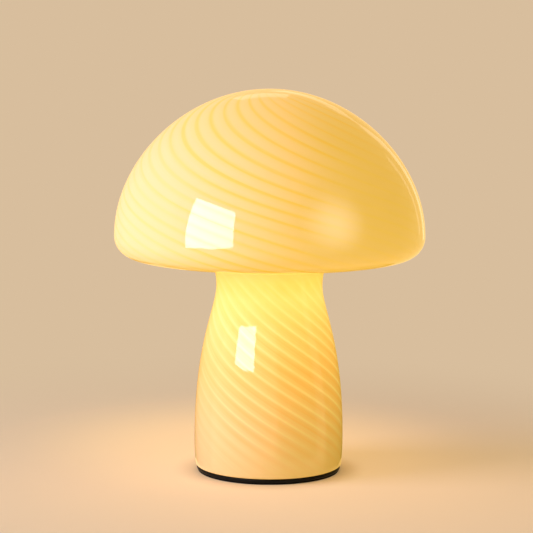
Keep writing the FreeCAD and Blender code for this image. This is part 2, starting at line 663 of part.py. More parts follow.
def holder_insert():
    """The insulating core with the terminals for the two leads."""
    z = HOLDER_Z
    core = cylinder(HOLDER_RADIUS - HOLDER_WALL - FIT, z + INSERT_BOTTOM, z + INSERT_TOP)
    core = core.cut(cylinder(INSERT_BORE, z, z + INSERT_TOP - INSERT_SOCKET_ROOF))
    screw_z = z + INSERT_BOTTOM + TERMINAL_SCREW_RISE
    for x in (-LEAD_TERMINAL_X, LEAD_TERMINAL_X):
        front = Vector(x, -HOLDER_RADIUS, screw_z)
        core = core.cut(cylinder(LEAD_RADIUS + FIT, z, z + INSERT_BOTTOM + LEAD_TERMINAL_DEPTH + FIT, x))
        core = core.cut(rod(TERMINAL_SCREW_RADIUS + FIT, front, Vector(x, 0, screw_z)))
        core = core.cut(rod(TERMINAL_HEAD_RADIUS + FIT, front, Vector(x, -TERMINAL_HEAD_Y, screw_z)))
    return solid_of(core)


def holder_terminal_screws():
    """The two screws that clamp the leads in the lampholder."""
    z = HOLDER_Z + INSERT_BOTTOM + TERMINAL_SCREW_RISE
    head_y = -TERMINAL_HEAD_Y - TERMINAL_HEAD_HEIGHT
    length = TERMINAL_HEAD_Y - LEAD_RADIUS - FIT
    return [
        slotted_screw(TERMINAL_SCREW_RADIUS, TERMINAL_HEAD_RADIUS, TERMINAL_HEAD_HEIGHT, length,
                      Vector(x, head_y, z), BACK)
        for x in (-LEAD_TERMINAL_X, LEAD_TERMINAL_X)
    ]


def holder_screw_shell():
    """The brass shell with the round thread that takes the lamp."""
    low = HOLDER_Z + INSERT_TOP
    high = HOLDER_Z + SHELL_TOP
    turns_below = math.ceil((LAMP_Z + THREAD_START - low) / THREAD_PITCH) + 1
    turns = math.ceil((high - low) / THREAD_PITCH) + 3
    start = LAMP_Z + THREAD_START - turns_below * THREAD_PITCH
    end = start + turns * THREAD_PITCH
    groove = helical_rod(GROOVE_RADIUS, THREAD_RIDGE_CENTRE, start, turns)
    tall = ring(SHELL_RADIUS, SHELL_CORE_RADIUS, start - THREAD_PITCH, end + THREAD_PITCH)
    return solid_of(tall.cut(groove).common(cylinder(SHELL_RADIUS + 1, low, high)))


def holder_centre_contact():
    """The sprung brass strip under the lamp's tip."""
    low = HOLDER_Z + INSERT_TOP
    high = LAMP_Z - CONTACT_GAP - CONTACT_THICKNESS
    points = [
        Vector(-CONTACT_REACH, 0, low),
        Vector(-CONTACT_REACH / 2, 0, low),
        Vector(0, 0, high),
        Vector(CONTACT_REACH / 2, 0, high - CONTACT_GAP),
    ]
    return strip_above(rounded_path(points, free_radii(points)), CONTACT_THICKNESS, CONTACT_WIDTH)


# ---- lamp ----
def bulb_tip_contact():
    """The round contact at the lamp's tip."""
    z = LAMP_Z
    return turned([
        line((0, z + TIP_HEIGHT), (TIP_RADIUS, z + TIP_HEIGHT)),
        line((TIP_RADIUS, z + TIP_HEIGHT), (TIP_RADIUS, z + TIP_DOME)),
        curve((TIP_RADIUS, z + TIP_DOME), (TIP_RADIUS, z), (0, z)),
        line((0, z), (0, z + TIP_HEIGHT)),
    ])


def bulb_insulator():
    """The black insulating ring between the tip and the screw cap."""
    z = LAMP_Z
    bore = TIP_RADIUS + FIT
    outer = THREAD_CORE_RADIUS
    return turned_outline([
        (bore, z + INSULATOR_BOTTOM), (bore + INSULATOR_FACE, z + INSULATOR_BOTTOM),
        (outer, z + INSULATOR_TOP - INSULATOR_EDGE), (outer, z + INSULATOR_TOP), (bore, z + INSULATOR_TOP),
    ])


def bulb_screw_cap():
    """The plated cap with its round thread."""
    z = LAMP_Z
    inner = THREAD_CORE_RADIUS - CAP_SHELL_WALL
    sleeve = turned_outline([
        (inner, z + INSULATOR_TOP), (THREAD_CORE_RADIUS, z + INSULATOR_TOP),
        (THREAD_CORE_RADIUS, z + CAP_SKIRT_BOTTOM), (CAP_SKIRT_RADIUS, z + CAP_SKIRT_BOTTOM + CAP_SKIRT_STEP),
        (CAP_SKIRT_RADIUS, z + CAP_SHELL_TOP), (inner, z + CAP_SHELL_TOP),
    ])
    ridge = helical_rod(THREAD_RIDGE_RADIUS, THREAD_RIDGE_CENTRE, z + THREAD_START, THREAD_TURNS)
    ridge = ridge.cut(cylinder(inner + CAP_SHELL_WALL / 2, z, z + CAP_SHELL_TOP))
    return solid_of(sleeve.fuse(ridge))


def housing_core(inset, low):
    """The housing's flared shape from a height to its top, solid, with its side moved in by inset."""
    low_z = LAMP_Z + low
    top_z = LAMP_Z + HOUSING_TOP
    neck_r = HOUSING_NECK_RADIUS - inset
    top_r = HOUSING_TOP_RADIUS - inset
    reach = HOUSING_SHARPNESS * (top_z - low_z)
    return turned([
        curve((neck_r, low_z), (neck_r, low_z + reach), (top_r, top_z - reach), (top_r, top_z)),
        line((top_r, top_z), (0, top_z)),
        line((0, top_z), (0, low_z)),
        line((0, low_z), (neck_r, low_z)),
    ])


def bulb_housing():
    """The white housing between the screw cap and the globe."""
    z = LAMP_Z
    floor = CAP_SHELL_TOP + HOUSING_WALL
    outer = housing_core(0, CAP_SHELL_TOP)
    ledge_low = z + BOARD_Z - BOARD_LEDGE_HEIGHT
    ledge = ring(HOUSING_TOP_RADIUS, BOARD_RADIUS - HOUSING_WALL, ledge_low, z + BOARD_Z)
    housing = outer.cut(housing_core(HOUSING_WALL, floor)).fuse(ledge.common(outer))
    housing = housing.fuse(cylinder(HOUSING_SPIGOT_RADIUS, z + HOUSING_SPIGOT_BOTTOM, z + floor))
    return solid_of(housing.cut(cylinder(HOUSING_BORE, z, z + floor + HOUSING_WALL)))


def bulb_led_board():
    """The round board that carries the light-emitting chips."""
    board = cylinder(BOARD_RADIUS, LAMP_Z + BOARD_Z, LAMP_Z + BOARD_Z + BOARD_THICKNESS)
    gap = 2 * DRIVER_SLOT_CLEARANCE
    return solid_of(board.cut(block(DRIVER_TONGUE_WIDTH + gap, DRIVER_THICKNESS + gap, 0, HEIGHT)))


def bulb_leds():
    """The chips in a ring on the board."""
    low = LAMP_Z + BOARD_Z + BOARD_THICKNESS
    chips = []
    for k in range(LED_COUNT):
        chip = block(LED_SIDE, LED_SIDE, low, low + LED_HEIGHT, x=LED_CIRCLE)
        chip.rotate(ORIGIN, UP, 360 * (k + 0.5) / LED_COUNT)
        chips.append(solid_of(chip))
    return chips


def bulb_driver():
    """The upright circuit card in the housing, with its capacitor, coil and rectifier."""
    z = LAMP_Z
    tongue_top = BOARD_Z + BOARD_THICKNESS + DRIVER_TONGUE_RISE
    card = block(DRIVER_TAIL_WIDTH, DRIVER_THICKNESS, z + DRIVER_BOTTOM, z + BOARD_Z)
    card = card.fuse(block(DRIVER_WIDTH, DRIVER_THICKNESS, z + DRIVER_SHOULDER, z + BOARD_Z))
    card = card.fuse(block(DRIVER_TONGUE_WIDTH, DRIVER_THICKNESS, z + BOARD_Z, z + tongue_top))
    face = DRIVER_THICKNESS / 2 - FIT
    capacitor_low = z + DRIVER_SHOULDER + CAPACITOR_ABOVE_SHOULDER
    capacitor = cylinder(CAPACITOR_RADIUS, capacitor_low, capacitor_low + CAPACITOR_LENGTH,
                         CAPACITOR_X, face + CAPACITOR_RADIUS)
    coil_low = z + DRIVER_SHOULDER + COIL_ABOVE_SHOULDER
    coil = block(COIL_X, COIL_Y, coil_low, coil_low + COIL_Z, x=-COIL_X / 2, y=-face - COIL_Y / 2)
    rectifier_low = z + DRIVER_SHOULDER + RECTIFIER_ABOVE_SHOULDER
    rectifier = block(RECTIFIER_X, RECTIFIER_Y, rectifier_low, rectifier_low + RECTIFIER_Z,
                      x=-RECTIFIER_X / 2, y=face + RECTIFIER_Y / 2)
    return solid_of(card.fuse(capacitor).fuse(coil).fuse(rectifier))


def bulb_globe():
    """The white diffusing globe."""
    centre_z = LAMP_Z + GLOBE_CENTRE
    low = LAMP_Z + HOUSING_TOP
    inner_radius = GLOBE_RADIUS - GLOBE_WALL
    outer_mouth = (HOUSING_TOP_RADIUS, low)
    inner_mouth = (math.sqrt(inner_radius ** 2 - GLOBE_MOUTH_BELOW ** 2), low)
    slant = math.sqrt(0.5)
    return turned([
        arc((0, centre_z + GLOBE_RADIUS),
            (GLOBE_RADIUS * slant, centre_z + GLOBE_RADIUS * slant), outer_mouth),
        line(outer_mouth, inner_mouth),
        arc(inner_mouth, (inner_radius * slant, centre_z + inner_radius * slant),
            (0, centre_z + inner_radius)),
        line((0, centre_z + inner_radius), (0, centre_z + GLOBE_RADIUS)),
    ])


# ---- terminal block and leads ----
def terminal_block():
    """The moulded block that joins a cord's cores to the inner leads."""
    y = BLOCK_CENTRE_Y
    body = block(BLOCK_X, BLOCK_Y, BLOCK_BOTTOM_Z, CAVITY_TOP_Z, y=y)
    body = body.cut(cylinder(FIXING_SCREW_RADIUS + FIT, 0, HEIGHT, y=y))
    for x in (-POLE_X, POLE_X):
        low = Vector(x, y - BLOCK_Y, BARREL_Z)
        high = Vector(x, y + BLOCK_Y, BARREL_Z)
        body = body.cut(rod(BARREL_RADIUS + FIT, low, high))
        for offset in (-BLOCK_SCREW_OFFSET, BLOCK_SCREW_OFFSET):
            body = body.cut(cylinder(BLOCK_SCREW_RADIUS + BLOCK_SCREW_GAP, 0, BARREL_Z, x, y + offset))
    return solid_of(body)


def terminal_barrels():
    """The two brass barrels in the block."""
    y = BLOCK_CENTRE_Y
    barrels = []
    for x in (-POLE_X, POLE_X):
        low = Vector(x, y - BLOCK_Y / 2 + BARREL_RECESS, BARREL_Z)
        high = Vector(x, y + BLOCK_Y / 2 - BARREL_RECESS, BARREL_Z)
        barrel = rod(BARREL_RADIUS, low, high).cut(rod(BARREL_BORE, low - BACK, high + BACK))
        for offset in (-BLOCK_SCREW_OFFSET, BLOCK_SCREW_OFFSET):
            barrel = barrel.cut(cylinder(BLOCK_SCREW_RADIUS + FIT, 0, BARREL_Z, x, y + offset))
        barrels.append(solid_of(barrel))
    return barrels


def terminal_screws():
    """The four clamping screws, reached from below."""
    low = BLOCK_BOTTOM_Z - BLOCK_SCREW_STANDS_OUT
    head = BLOCK_SCREW_HEAD
    length = BARREL_Z - LEAD_RADIUS - FIT - low - head
    screws = []
    for x in (-POLE_X, POLE_X):
        for offset in (-BLOCK_SCREW_OFFSET, BLOCK_SCREW_OFFSET):
            at = Vector(x, BLOCK_CENTRE_Y + offset, low)
            screws.append(slotted_screw(BLOCK_SCREW_RADIUS, BLOCK_SCREW_RADIUS, head, length, at, UP))
    return screws


def terminal_fixing_screw():
    """The screw that holds the block under the base's top."""
    at = Vector(0, BLOCK_CENTRE_Y, BLOCK_BOTTOM_Z - SCREW_HEAD_HEIGHT)
    length = BLOCK_Z + FIXING_SCREW_BITE - 2 * FIT
    return slotted_screw(FIXING_SCREW_RADIUS, FIXING_SCREW_HEAD_RADIUS, SCREW_HEAD_HEIGHT, length, at, UP)


def lead(side):
    """One insulated lead from the block, under the tube and up it, to the lampholder's terminal."""
    block_face = BLOCK_CENTRE_Y - BLOCK_Y / 2
    floor = POST_BOTTOM_Z + LEAD_RADIUS + LEAD_FLOOR_GAP
    tube_x = side * LEAD_IN_TUBE_X
    pole_x = side * POLE_X
    end_x = side * LEAD_TERMINAL_X
    corner = LEAD_CORNER
    points = [
        Vector(pole_x, block_face + BARREL_RECESS + LEAD_IN_BARREL, BARREL_Z),
        Vector(pole_x, block_face - LEAD_STRAIGHT, BARREL_Z),
        Vector((pole_x + tube_x) / 2, block_face - LEAD_STRAIGHT - corner, floor),
        Vector(tube_x, corner, floor),
        Vector(tube_x, 0, floor + corner),
        Vector(tube_x, 0, TUBE_TOP_Z + 1),
        Vector(end_x, 0, TUBE_TOP_Z + 1 + LEAD_SPREAD),
        Vector(end_x, 0, HOLDER_Z + INSERT_BOTTOM + LEAD_TERMINAL_DEPTH),
    ]
    radii = free_radii(points)
    path = rounded_path(points, radii)
    section = Part.Wire(Part.makeCircle(LEAD_RADIUS, points[0], points[1] - points[0]))
    wire = solid_of(path.makePipeShell([section], True, False))
    ideal = math.pi * LEAD_RADIUS ** 2 * path.Length
    print("lead radii", [round(r, 1) for r in radii], "length", round(path.Length, 1),
          "volume over ideal", round(wire.Volume / ideal, 4))
    return wire


# ---- every node and what builds it ----
NODES = {
    "glass_body": glass_body,
    "base_plate": base_plate,
    "foot_ring": foot_ring,
    "glass_seat_ring": glass_seat_ring,
    "bottom_cover": bottom_cover,
    "cover_screws": cover_screws,
    "cord_grommet": cord_grommet,
    "glass_clips": glass_clips,
    "clip_rivets": clip_rivets,
    "mounting_tube": mounting_tube,
    "tube_nut": tube_nut,
    "lock_washer": lock_washer,
    "mounting_collar": mounting_collar,
    "holder_cap": holder_cap,
    "holder_lock_screw": holder_lock_screw,
    "holder_body": holder_body,
    "holder_insert": holder_insert,
    "holder_terminal_screws": holder_terminal_screws,
    "holder_screw_shell": holder_screw_shell,
    "holder_centre_contact": holder_centre_contact,
    "bulb_tip_contact": bulb_tip_contact,
    "bulb_insulator": bulb_insulator,
    "bulb_screw_cap": bulb_screw_cap,
    "bulb_housing": bulb_housing,
    "bulb_led_board": bulb_led_board,
    "bulb_leds": bulb_leds,
    "bulb_driver": bulb_driver,
    "bulb_globe": bulb_globe,
    "terminal_block": terminal_block,
    "terminal_barrels": terminal_barrels,
    "terminal_screws": terminal_screws,
    "terminal_fixing_screw": terminal_fixing_screw,
    "lead_live": lambda: lead(-1),
    "lead_neutral": lambda: lead(1),
}


def main():
    """Builds every node and writes it."""
    os.makedirs("parts", exist_ok=True)
    for name, build in NODES.items():
        made = build()
        solids = made if isinstance(made, list) else [made]
        export(name, *solids)
        valid = all(solid.isValid() for solid in solids)
        volume = sum(solid.Volume for solid in solids)
        print(name, len(solids), "valid", valid, "volume", round(volume, 1))


main()
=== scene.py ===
"""Looks of a mushroom table lamp: one blown opal glass, pale yellow with swirled lines, lit from inside,
over a thin round black base. Sizes are in metres and turns in degrees unless a name says otherwise."""
import json
import logging
import math
from dataclasses import dataclass
from enum import Enum
from typing import Sequence

import bpy
import numpy as np
from mathutils import Matrix, Vector


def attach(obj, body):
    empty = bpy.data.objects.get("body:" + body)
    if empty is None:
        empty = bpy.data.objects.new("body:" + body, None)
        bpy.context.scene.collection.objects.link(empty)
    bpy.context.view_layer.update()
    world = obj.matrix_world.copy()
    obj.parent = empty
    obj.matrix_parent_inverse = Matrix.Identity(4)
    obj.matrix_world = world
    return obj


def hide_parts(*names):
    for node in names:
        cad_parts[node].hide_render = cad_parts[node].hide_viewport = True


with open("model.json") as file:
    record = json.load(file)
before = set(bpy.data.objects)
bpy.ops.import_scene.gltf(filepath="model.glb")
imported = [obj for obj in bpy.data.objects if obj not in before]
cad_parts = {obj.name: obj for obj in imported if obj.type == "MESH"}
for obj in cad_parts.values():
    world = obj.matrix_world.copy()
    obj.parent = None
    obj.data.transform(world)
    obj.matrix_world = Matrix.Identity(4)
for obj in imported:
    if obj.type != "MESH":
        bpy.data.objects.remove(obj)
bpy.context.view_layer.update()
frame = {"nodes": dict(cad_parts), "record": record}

log = logging.getLogger("lamp")
Socket, Tree = bpy.types.NodeSocket, bpy.types.NodeTree
MM = 0.001
UV_MAPS = ("cap_lines", "stem_lines")
Colour = tuple[float, float, float]
Point = tuple[float, float, float]
Span = tuple[float, float]
BLACK: Colour = (0.0, 0.0, 0.0)


class Body(Enum):
    """The bodies that a new piece can ride on."""

    GLASS = "glass"


class Slot(Enum):
    """The record's material slots."""

    AMBER_GLASS = "amber_glass"
    BLACK_BASE = "black_base"
    BLACK_RUBBER = "black_rubber"
    STEEL = "steel"
    SPRING_STEEL = "spring_steel"
    RIVET_ALUMINIUM = "rivet_aluminium"
    HOLDER_PLASTIC = "holder_plastic"
    WHITE_CERAMIC = "white_ceramic"
    BRASS = "brass"
    TIP_METAL = "tip_metal"
    BULB_BLACK = "bulb_black"
    BULB_NICKEL = "bulb_nickel"
    BULB_WHITE = "bulb_white"
    BOARD_WHITE = "board_white"
    LED_YELLOW = "led_yellow"
    CARD_GREEN = "card_green"
    GLOBE_WHITE = "globe_white"
    BLOCK_WHITE = "block_white"
    LEAD_BROWN = "lead_brown"
    LEAD_BLUE = "lead_blue"


class Grain(Enum):
    """How a finish's fine marks run: the stretch of the noise along X, Y and Z."""

    EVEN = (1.0, 1.0, 1.0)
    UPRIGHT = (1.0, 1.0, 0.06)
    LEVEL = (0.25, 0.25, 3.0)


def add_object(name: str, data: object) -> bpy.types.Object:
    """Adds an object to the scene.

    Args:
        name: the object's name.
        data: its mesh, light or camera.

    Returns:
        The object.
    """
    made = bpy.data.objects.new(name, data)
    bpy.context.scene.collection.objects.link(made)
    return made


# ---- node helpers ----
class Nodes:
    """A short way to build a node tree, whether a material's or a group's."""

    def __init__(self, tree: Tree) -> None:
        """Keeps the tree that the calls add to."""
        self.tree = tree

    def add(self, kind: str, inputs: dict[object, object] | None = None,
            **settings: object) -> bpy.types.Node:
        """Adds a node, sets its properties and fills its inputs.

        Args:
            kind: the node's Blender type name.
            inputs: what goes into its inputs, by their names or places: sockets or plain values.
            **settings: properties of the node.

        Returns:
            The new node.
        """
        node = self.tree.nodes.new(kind)
        for name, value in settings.items():
            setattr(node, name, value)
        for place, source in (inputs or {}).items():
            self.link(source, node.inputs[place])
        return node

    def link(self, source: object, target: object) -> None:
        """Joins two sockets, or sets the target where the source is a plain value.

        Args:
            source: a socket, number, vector or colour.
            target: the input that takes it.
        """
        if isinstance(source, Socket):
            self.tree.links.new(source, target)
        else:
            target.default_value = rgba(source) if target.type == "RGBA" else source

    def maths(self, operation: str, *inputs: object, clamp: bool = False) -> Socket:
        """Adds a Math node; clamp keeps its result between 0 and 1."""
        node = self.add("ShaderNodeMath", dict(enumerate(inputs)), operation=operation, use_clamp=clamp)
        return node.outputs[0]

    def times(self, first: object, second: object) -> Socket:
        """Adds a Math node that multiplies two values."""
        return self.maths("MULTIPLY", first, second)

    def measure(self, operation: str, *vectors: object) -> Socket:
        """Adds a Vector Math node that gives a value, such as a length."""
        node = self.add("ShaderNodeVectorMath", dict(enumerate(vectors)), operation=operation)
        return node.outputs["Value"]

    def mix(self, factor: object, first: object, second: object, blend: str = "MIX") -> Socket:
        """Adds a Mix node for colours; the factor is how much of the second there is."""
        inputs = {0: factor, 6: first, 7: second}
        return self.add("ShaderNodeMix", inputs, data_type="RGBA", blend_type=blend).outputs[2]

    def mix_value(self, factor: object, first: object, second: object) -> Socket:
        """Adds a Mix node for values; the factor is how much of the second there is."""
        return self.add("ShaderNodeMix", {0: factor, 2: first, 3: second}, data_type="FLOAT").outputs[0]

    def noise(self, vector: object, scale: object, detail: float, rough: float = 0.5) -> Socket:
        """Adds a Noise Texture and returns its value's socket."""
        inputs = {"Vector": vector, "Scale": scale, "Detail": detail, "Roughness": rough}
        return self.add("ShaderNodeTexNoise", inputs).outputs["Fac"]

    def ramp(self, value: object, low: float, high: float, start: float = 0.0, end: float = 1.0,
             smooth: bool = True) -> Socket:
        """Adds a Map Range node.

        Args:
            value: what is mapped.
            low: the value that becomes start.
            high: the value that becomes end.
            start: the result at low.
            end: the result at high.
            smooth: whether it eases at both ends.

        Returns:
            The result's socket.
        """
        inputs = dict(enumerate((value, low, high, start, end)))
        kind = "SMOOTHSTEP" if smooth else "LINEAR"
        return self.add("ShaderNodeMapRange", inputs, interpolation_type=kind).outputs[0]

    def colours(self, value: object, stops: Sequence[tuple[float, Colour]], kind: str = "LINEAR") -> Socket:
        """Adds a Color Ramp.

        Args:
            value: what is mapped.
            stops: (place, colour) stops, from place 0 to place 1.
            kind: how it runs between them.

        Returns:
            The colour's socket.
        """
        node = self.add("ShaderNodeValToRGB", {0: value})
        node.color_ramp.interpolation = kind
        elements = node.color_ramp.elements
        elements[0].color, elements[1].color = rgba(stops[0][1]), rgba(stops[-1][1])
        for place, colour in stops[1:-1]:
            elements.new(place).color = rgba(colour)
        return node.outputs[0]

    def curve(self, value: object, stops: Sequence[tuple[float, float]]) -> Socket:
        """Adds a grey Color Ramp that runs smoothly through (place, level) stops."""
        return self.colours(value, [(place, (level, level, level)) for place, level in stops], "CARDINAL")

    def stretched(self, scale: Sequence[float] = (1.0, 1.0, 1.0)) -> Socket:
        """Adds Object coordinates behind a Mapping node and returns the vector's socket."""
        place = self.add("ShaderNodeTexCoord").outputs["Object"]
        return self.add("ShaderNodeMapping", {"Vector": place, "Scale": scale}).outputs[0]

    def parts_of(self, vector: object) -> bpy.types.NodeOutputs:
        """Adds a Separate XYZ node and returns its X, Y and Z sockets."""
        return self.add("ShaderNodeSeparateXYZ", {0: vector}).outputs

    def toward(self, place: object, azimuth: float, reach: float) -> Socket:
        """How far a place lies in a level direction: its dot product with that direction, over the reach.

        Args:
            place: the place's socket.
            azimuth: the direction in degrees from the front, to the right.
            reach: the distance that gives 1.

        Returns:
            The result's socket.
        """
        turn = math.radians(azimuth)
        direction = (math.sin(turn) / reach, -math.cos(turn) / reach, 0.0)
        return self.measure("DOT_PRODUCT", place, direction)


def rgba(value: object) -> object:
    """Adds an alpha of 1 to a colour of three numbers, and returns anything else as it is."""
    return (*value, 1.0) if isinstance(value, tuple) and len(value) == 3 else value


def new_group(name: str, inputs: dict[str, str], outputs: dict[str, str]) -> tuple[Tree, Nodes]:
    """Starts a shader node group.

    Args:
        name: the group's name.
        inputs: its input sockets, name to type.
        outputs: its output sockets, name to type.

    Returns:
        The group and its node builder.
    """
    group = bpy.data.node_groups.new(name, "ShaderNodeTree")
    for in_out, sockets in (("INPUT", inputs), ("OUTPUT", outputs)):
        for socket, kind in sockets.items():
            group.interface.new_socket(socket, in_out=in_out, socket_type=kind)
    return group, Nodes(group)


FLOAT, VECTOR, COLOUR = "NodeSocketFloat", "NodeSocketVector", "NodeSocketColor"
FINE_DETAIL, BROAD_NOISE, SPECK_NOISE = 5.0, (60.0, 3.0, 0.6), (900.0, 2.0, 0.7)
"""Noises of a surface's marks: steps to a metre, detail and roughness; the fine one's steps vary."""
WEAR_SHOWS, SPECKS_SHOW = (0.35, 0.7), (0.66, 0.74)
BROAD_ROUGHNESS, FINE_ROUGHNESS = 0.35, 0.12
DUST_COLOUR: Colour = (0.62, 0.58, 0.52)
AMBER_LINE = ((0.0, 1.0), (0.10, 0.80), (0.20, 0.40), (0.34, 0.13), (0.62, 0.0), (0.78, 0.16), (0.90, 0.64),
              (1.0, 1.0))
"""The amber line's strength from one line down to the next."""
PALE_THREAD = ((0.0, 1.0), (0.05, 0.86), (0.14, 0.46), (0.28, 0.10), (0.40, 0.0), (0.60, 0.16), (0.82, 0.42),
               (0.93, 0.66), (0.97, 0.90), (1.0, 1.0))
"""The stem's paleness from one thread down to the next."""
SOFT_BAND = ((0.0, 0.64), (0.18, 0.34), (0.36, 0.08), (0.55, 0.18), (0.80, 0.52), (1.0, 0.64))
"""The stem's paleness near the foot, from one band down to the next."""
SOFT_BAND_Z: Span = (0.015, 0.055)
STREAK_COUNTS = (("Streaks", 30.0, 22.0), ("Broad", 4.0, 14.0))
"""For each kind of streak, the noise's radius round the glass and its steps to a metre of height."""
STREAK_NOISE, NO_LINE = (1.0, 2.0), 0.5


def surface_marks_group() -> Tree:
    """Fine grain, soft mottling and dust of a made surface, from the place given.

    Returns:
        A group that gives a colour, a roughness and a height.
    """
    group, nodes = new_group(
        "surface_marks",
        {"Place": VECTOR, "Colour": COLOUR, "Worn Colour": COLOUR, "Roughness": FLOAT, "Grain Size": FLOAT,
         "Mottling": FLOAT, "Dust": FLOAT},
        {"Colour": COLOUR, "Roughness": FLOAT, "Height": FLOAT})
    given = nodes.add("NodeGroupInput").outputs
    fine = nodes.noise(given["Place"], nodes.maths("DIVIDE", 1.0, given["Grain Size"]), FINE_DETAIL)
    broad = nodes.noise(given["Place"], *BROAD_NOISE)
    specks = nodes.ramp(nodes.noise(given["Place"], *SPECK_NOISE), *SPECKS_SHOW)
    wear = nodes.times(nodes.ramp(broad, *WEAR_SHOWS), given["Mottling"])
    worn = nodes.mix(wear, given["Colour"], given["Worn Colour"])
    dusted = nodes.mix(nodes.times(specks, given["Dust"]), worn, DUST_COLOUR)
    spread = nodes.times(nodes.maths("SUBTRACT", broad, 0.5), BROAD_ROUGHNESS)
    rough = nodes.maths("ADD", given["Roughness"], nodes.times(spread, given["Roughness"]))
    fine_spread = nodes.times(nodes.maths("SUBTRACT", fine, 0.5), FINE_ROUGHNESS)
    rough = nodes.maths("ADD", rough, fine_spread, clamp=True)
    nodes.add("NodeGroupOutput", {"Colour": dusted, "Roughness": rough, "Height": fine})
    return group


def swirl_lines_group() -> Tree:
    """The two kinds of line in swirled glass, from a UV map whose u counts the lines and v is their strength.

    Going down the glass, the cap's amber line is a soft bump at each whole u. The stem's thread is bright at
    each whole u, turns golden just under it and pales slowly up to the next, and near the foot it softens
    into an even band. Streaks are noise on the circle (cos a, sin a), where a is u's share of a turn, so
    they run along the lines and close up.

    Returns:
        A group that gives the amber line's mask, the stem's paleness, which is NO_LINE where there is no
        line, and fine and broad streaks.
    """
    group, nodes = new_group("swirl_lines", {"Cap Lines": VECTOR, "Stem Lines": VECTOR, "Place": VECTOR,
                                             "Cap Bands": FLOAT},
                             {"Amber": FLOAT, "Pale": FLOAT, "Streaks": FLOAT, "Broad": FLOAT})
    given = nodes.add("NodeGroupInput").outputs
    cap, stem, place = [nodes.parts_of(given[name]) for name in ("Cap Lines", "Stem Lines", "Place")]
    down_cap, down_stem = [nodes.maths("FRACT", nodes.times(lines["X"], -1.0)) for lines in (cap, stem)]
    pale = nodes.mix_value(nodes.ramp(place["Z"], *SOFT_BAND_Z), nodes.curve(down_stem, SOFT_BAND),
                           nodes.curve(down_stem, PALE_THREAD))
    turn = nodes.times(nodes.maths("DIVIDE", cap["X"], given["Cap Bands"]), math.tau)
    cosine, sine = nodes.maths("COSINE", turn), nodes.maths("SINE", turn)
    out = {"Amber": nodes.times(nodes.curve(down_cap, AMBER_LINE), cap["Y"]),
           "Pale": nodes.mix_value(stem["Y"], NO_LINE, pale)}
    for name, across, along in STREAK_COUNTS:
        parts = {"X": nodes.times(cosine, across), "Y": nodes.times(sine, across),
                 "Z": nodes.times(place["Z"], along)}
        out[name] = nodes.noise(nodes.add("ShaderNodeCombineXYZ", parts).outputs[0], *STREAK_NOISE)
    nodes.add("NodeGroupOutput", out)
    return group


class Material:
    """A new material with its Principled shader and a node builder."""

    def __init__(self, name: str) -> None:
        """Makes the material.

        Args:
            name: the material's name.
        """
        self.material = bpy.data.materials.new(name)
        self.material.use_nodes = True
        self.nodes = Nodes(self.material.node_tree)
        self.shader = self.material.node_tree.nodes["Principled BSDF"]

    def plain(self, **values: object) -> None:
        """Sets constants on the shader's own sockets; an underscore in a name stands for a space."""
        for name, value in values.items():
            self.shader.inputs[name.replace("_", " ")].default_value = rgba(value)

    def feed(self, name: str, source: object) -> None:
        """Links a socket to one of the shader's inputs."""
        self.nodes.link(source, self.shader.inputs[name])

    def group(self, tree: Tree, **values: object) -> bpy.types.NodeOutputs:
        """Places a node group, fills its inputs (an underscore is a space) and returns its outputs."""
        inputs = {name.replace("_", " "): value for name, value in values.items()}
        return self.nodes.add("ShaderNodeGroup", inputs, node_tree=tree).outputs

    def bump(self, height: object, distance: float, strength: float = 1.0) -> None:
        """Feeds a height to the shader's normal; the distance is how high a height of 1 stands."""
        inputs = {"Distance": distance, "Strength": strength, "Height": height}
        self.feed("Normal", self.nodes.add("ShaderNodeBump", inputs).outputs[0])


# ---- finishes of the pieces that keep their own shape ----
@dataclass(frozen=True)
class Finish:
    """A plain finish of one slot: its colours, gloss and fine marks."""

    slot: Slot
    colour: Colour
    worn: Colour
    roughness: float
    metallic: float = 0.0
    coat: float = 0.0
    specular: float = 0.5
    grain: Grain = Grain.EVEN
    grain_size: float = 0.0006
    height: float = 0.00002
    mottling: float = 0.5
    dust: float = 0.0
    glow: float = 0.0
    glow_colour: Colour = (1.0, 0.8, 0.5)
    glow_least: float = 0.93
    glow_marks: Span = (0.3, 0.7)
    coat_roughness: float = 0.12

    def build(self, marks: Tree) -> bpy.types.Material:
        """Makes the finish's material.

        Args:
            marks: the shared group of surface marks.

        Returns:
            The material.
        """
        made = Material(self.slot.value + "_finish")
        place = made.nodes.stretched(self.grain.value)
        out = made.group(marks, Place=place, Colour=self.colour, Worn_Colour=self.worn,
                         Roughness=self.roughness, Grain_Size=self.grain_size, Mottling=self.mottling,
                         Dust=self.dust)
        made.feed("Base Color", out["Colour"])
        made.feed("Roughness", out["Roughness"])
        made.bump(out["Height"], self.height)
        made.plain(Metallic=self.metallic, Coat_Weight=self.coat, Coat_Roughness=self.coat_roughness,
                   Specular_IOR_Level=self.specular)
        if self.glow:
            least = tuple(self.glow_least * c for c in self.glow_colour)
            uneven = made.nodes.ramp(out["Height"], *self.glow_marks)
            made.feed("Emission Color", made.nodes.mix(uneven, self.glow_colour, least))
            made.plain(Emission_Strength=self.glow)
        return made.material


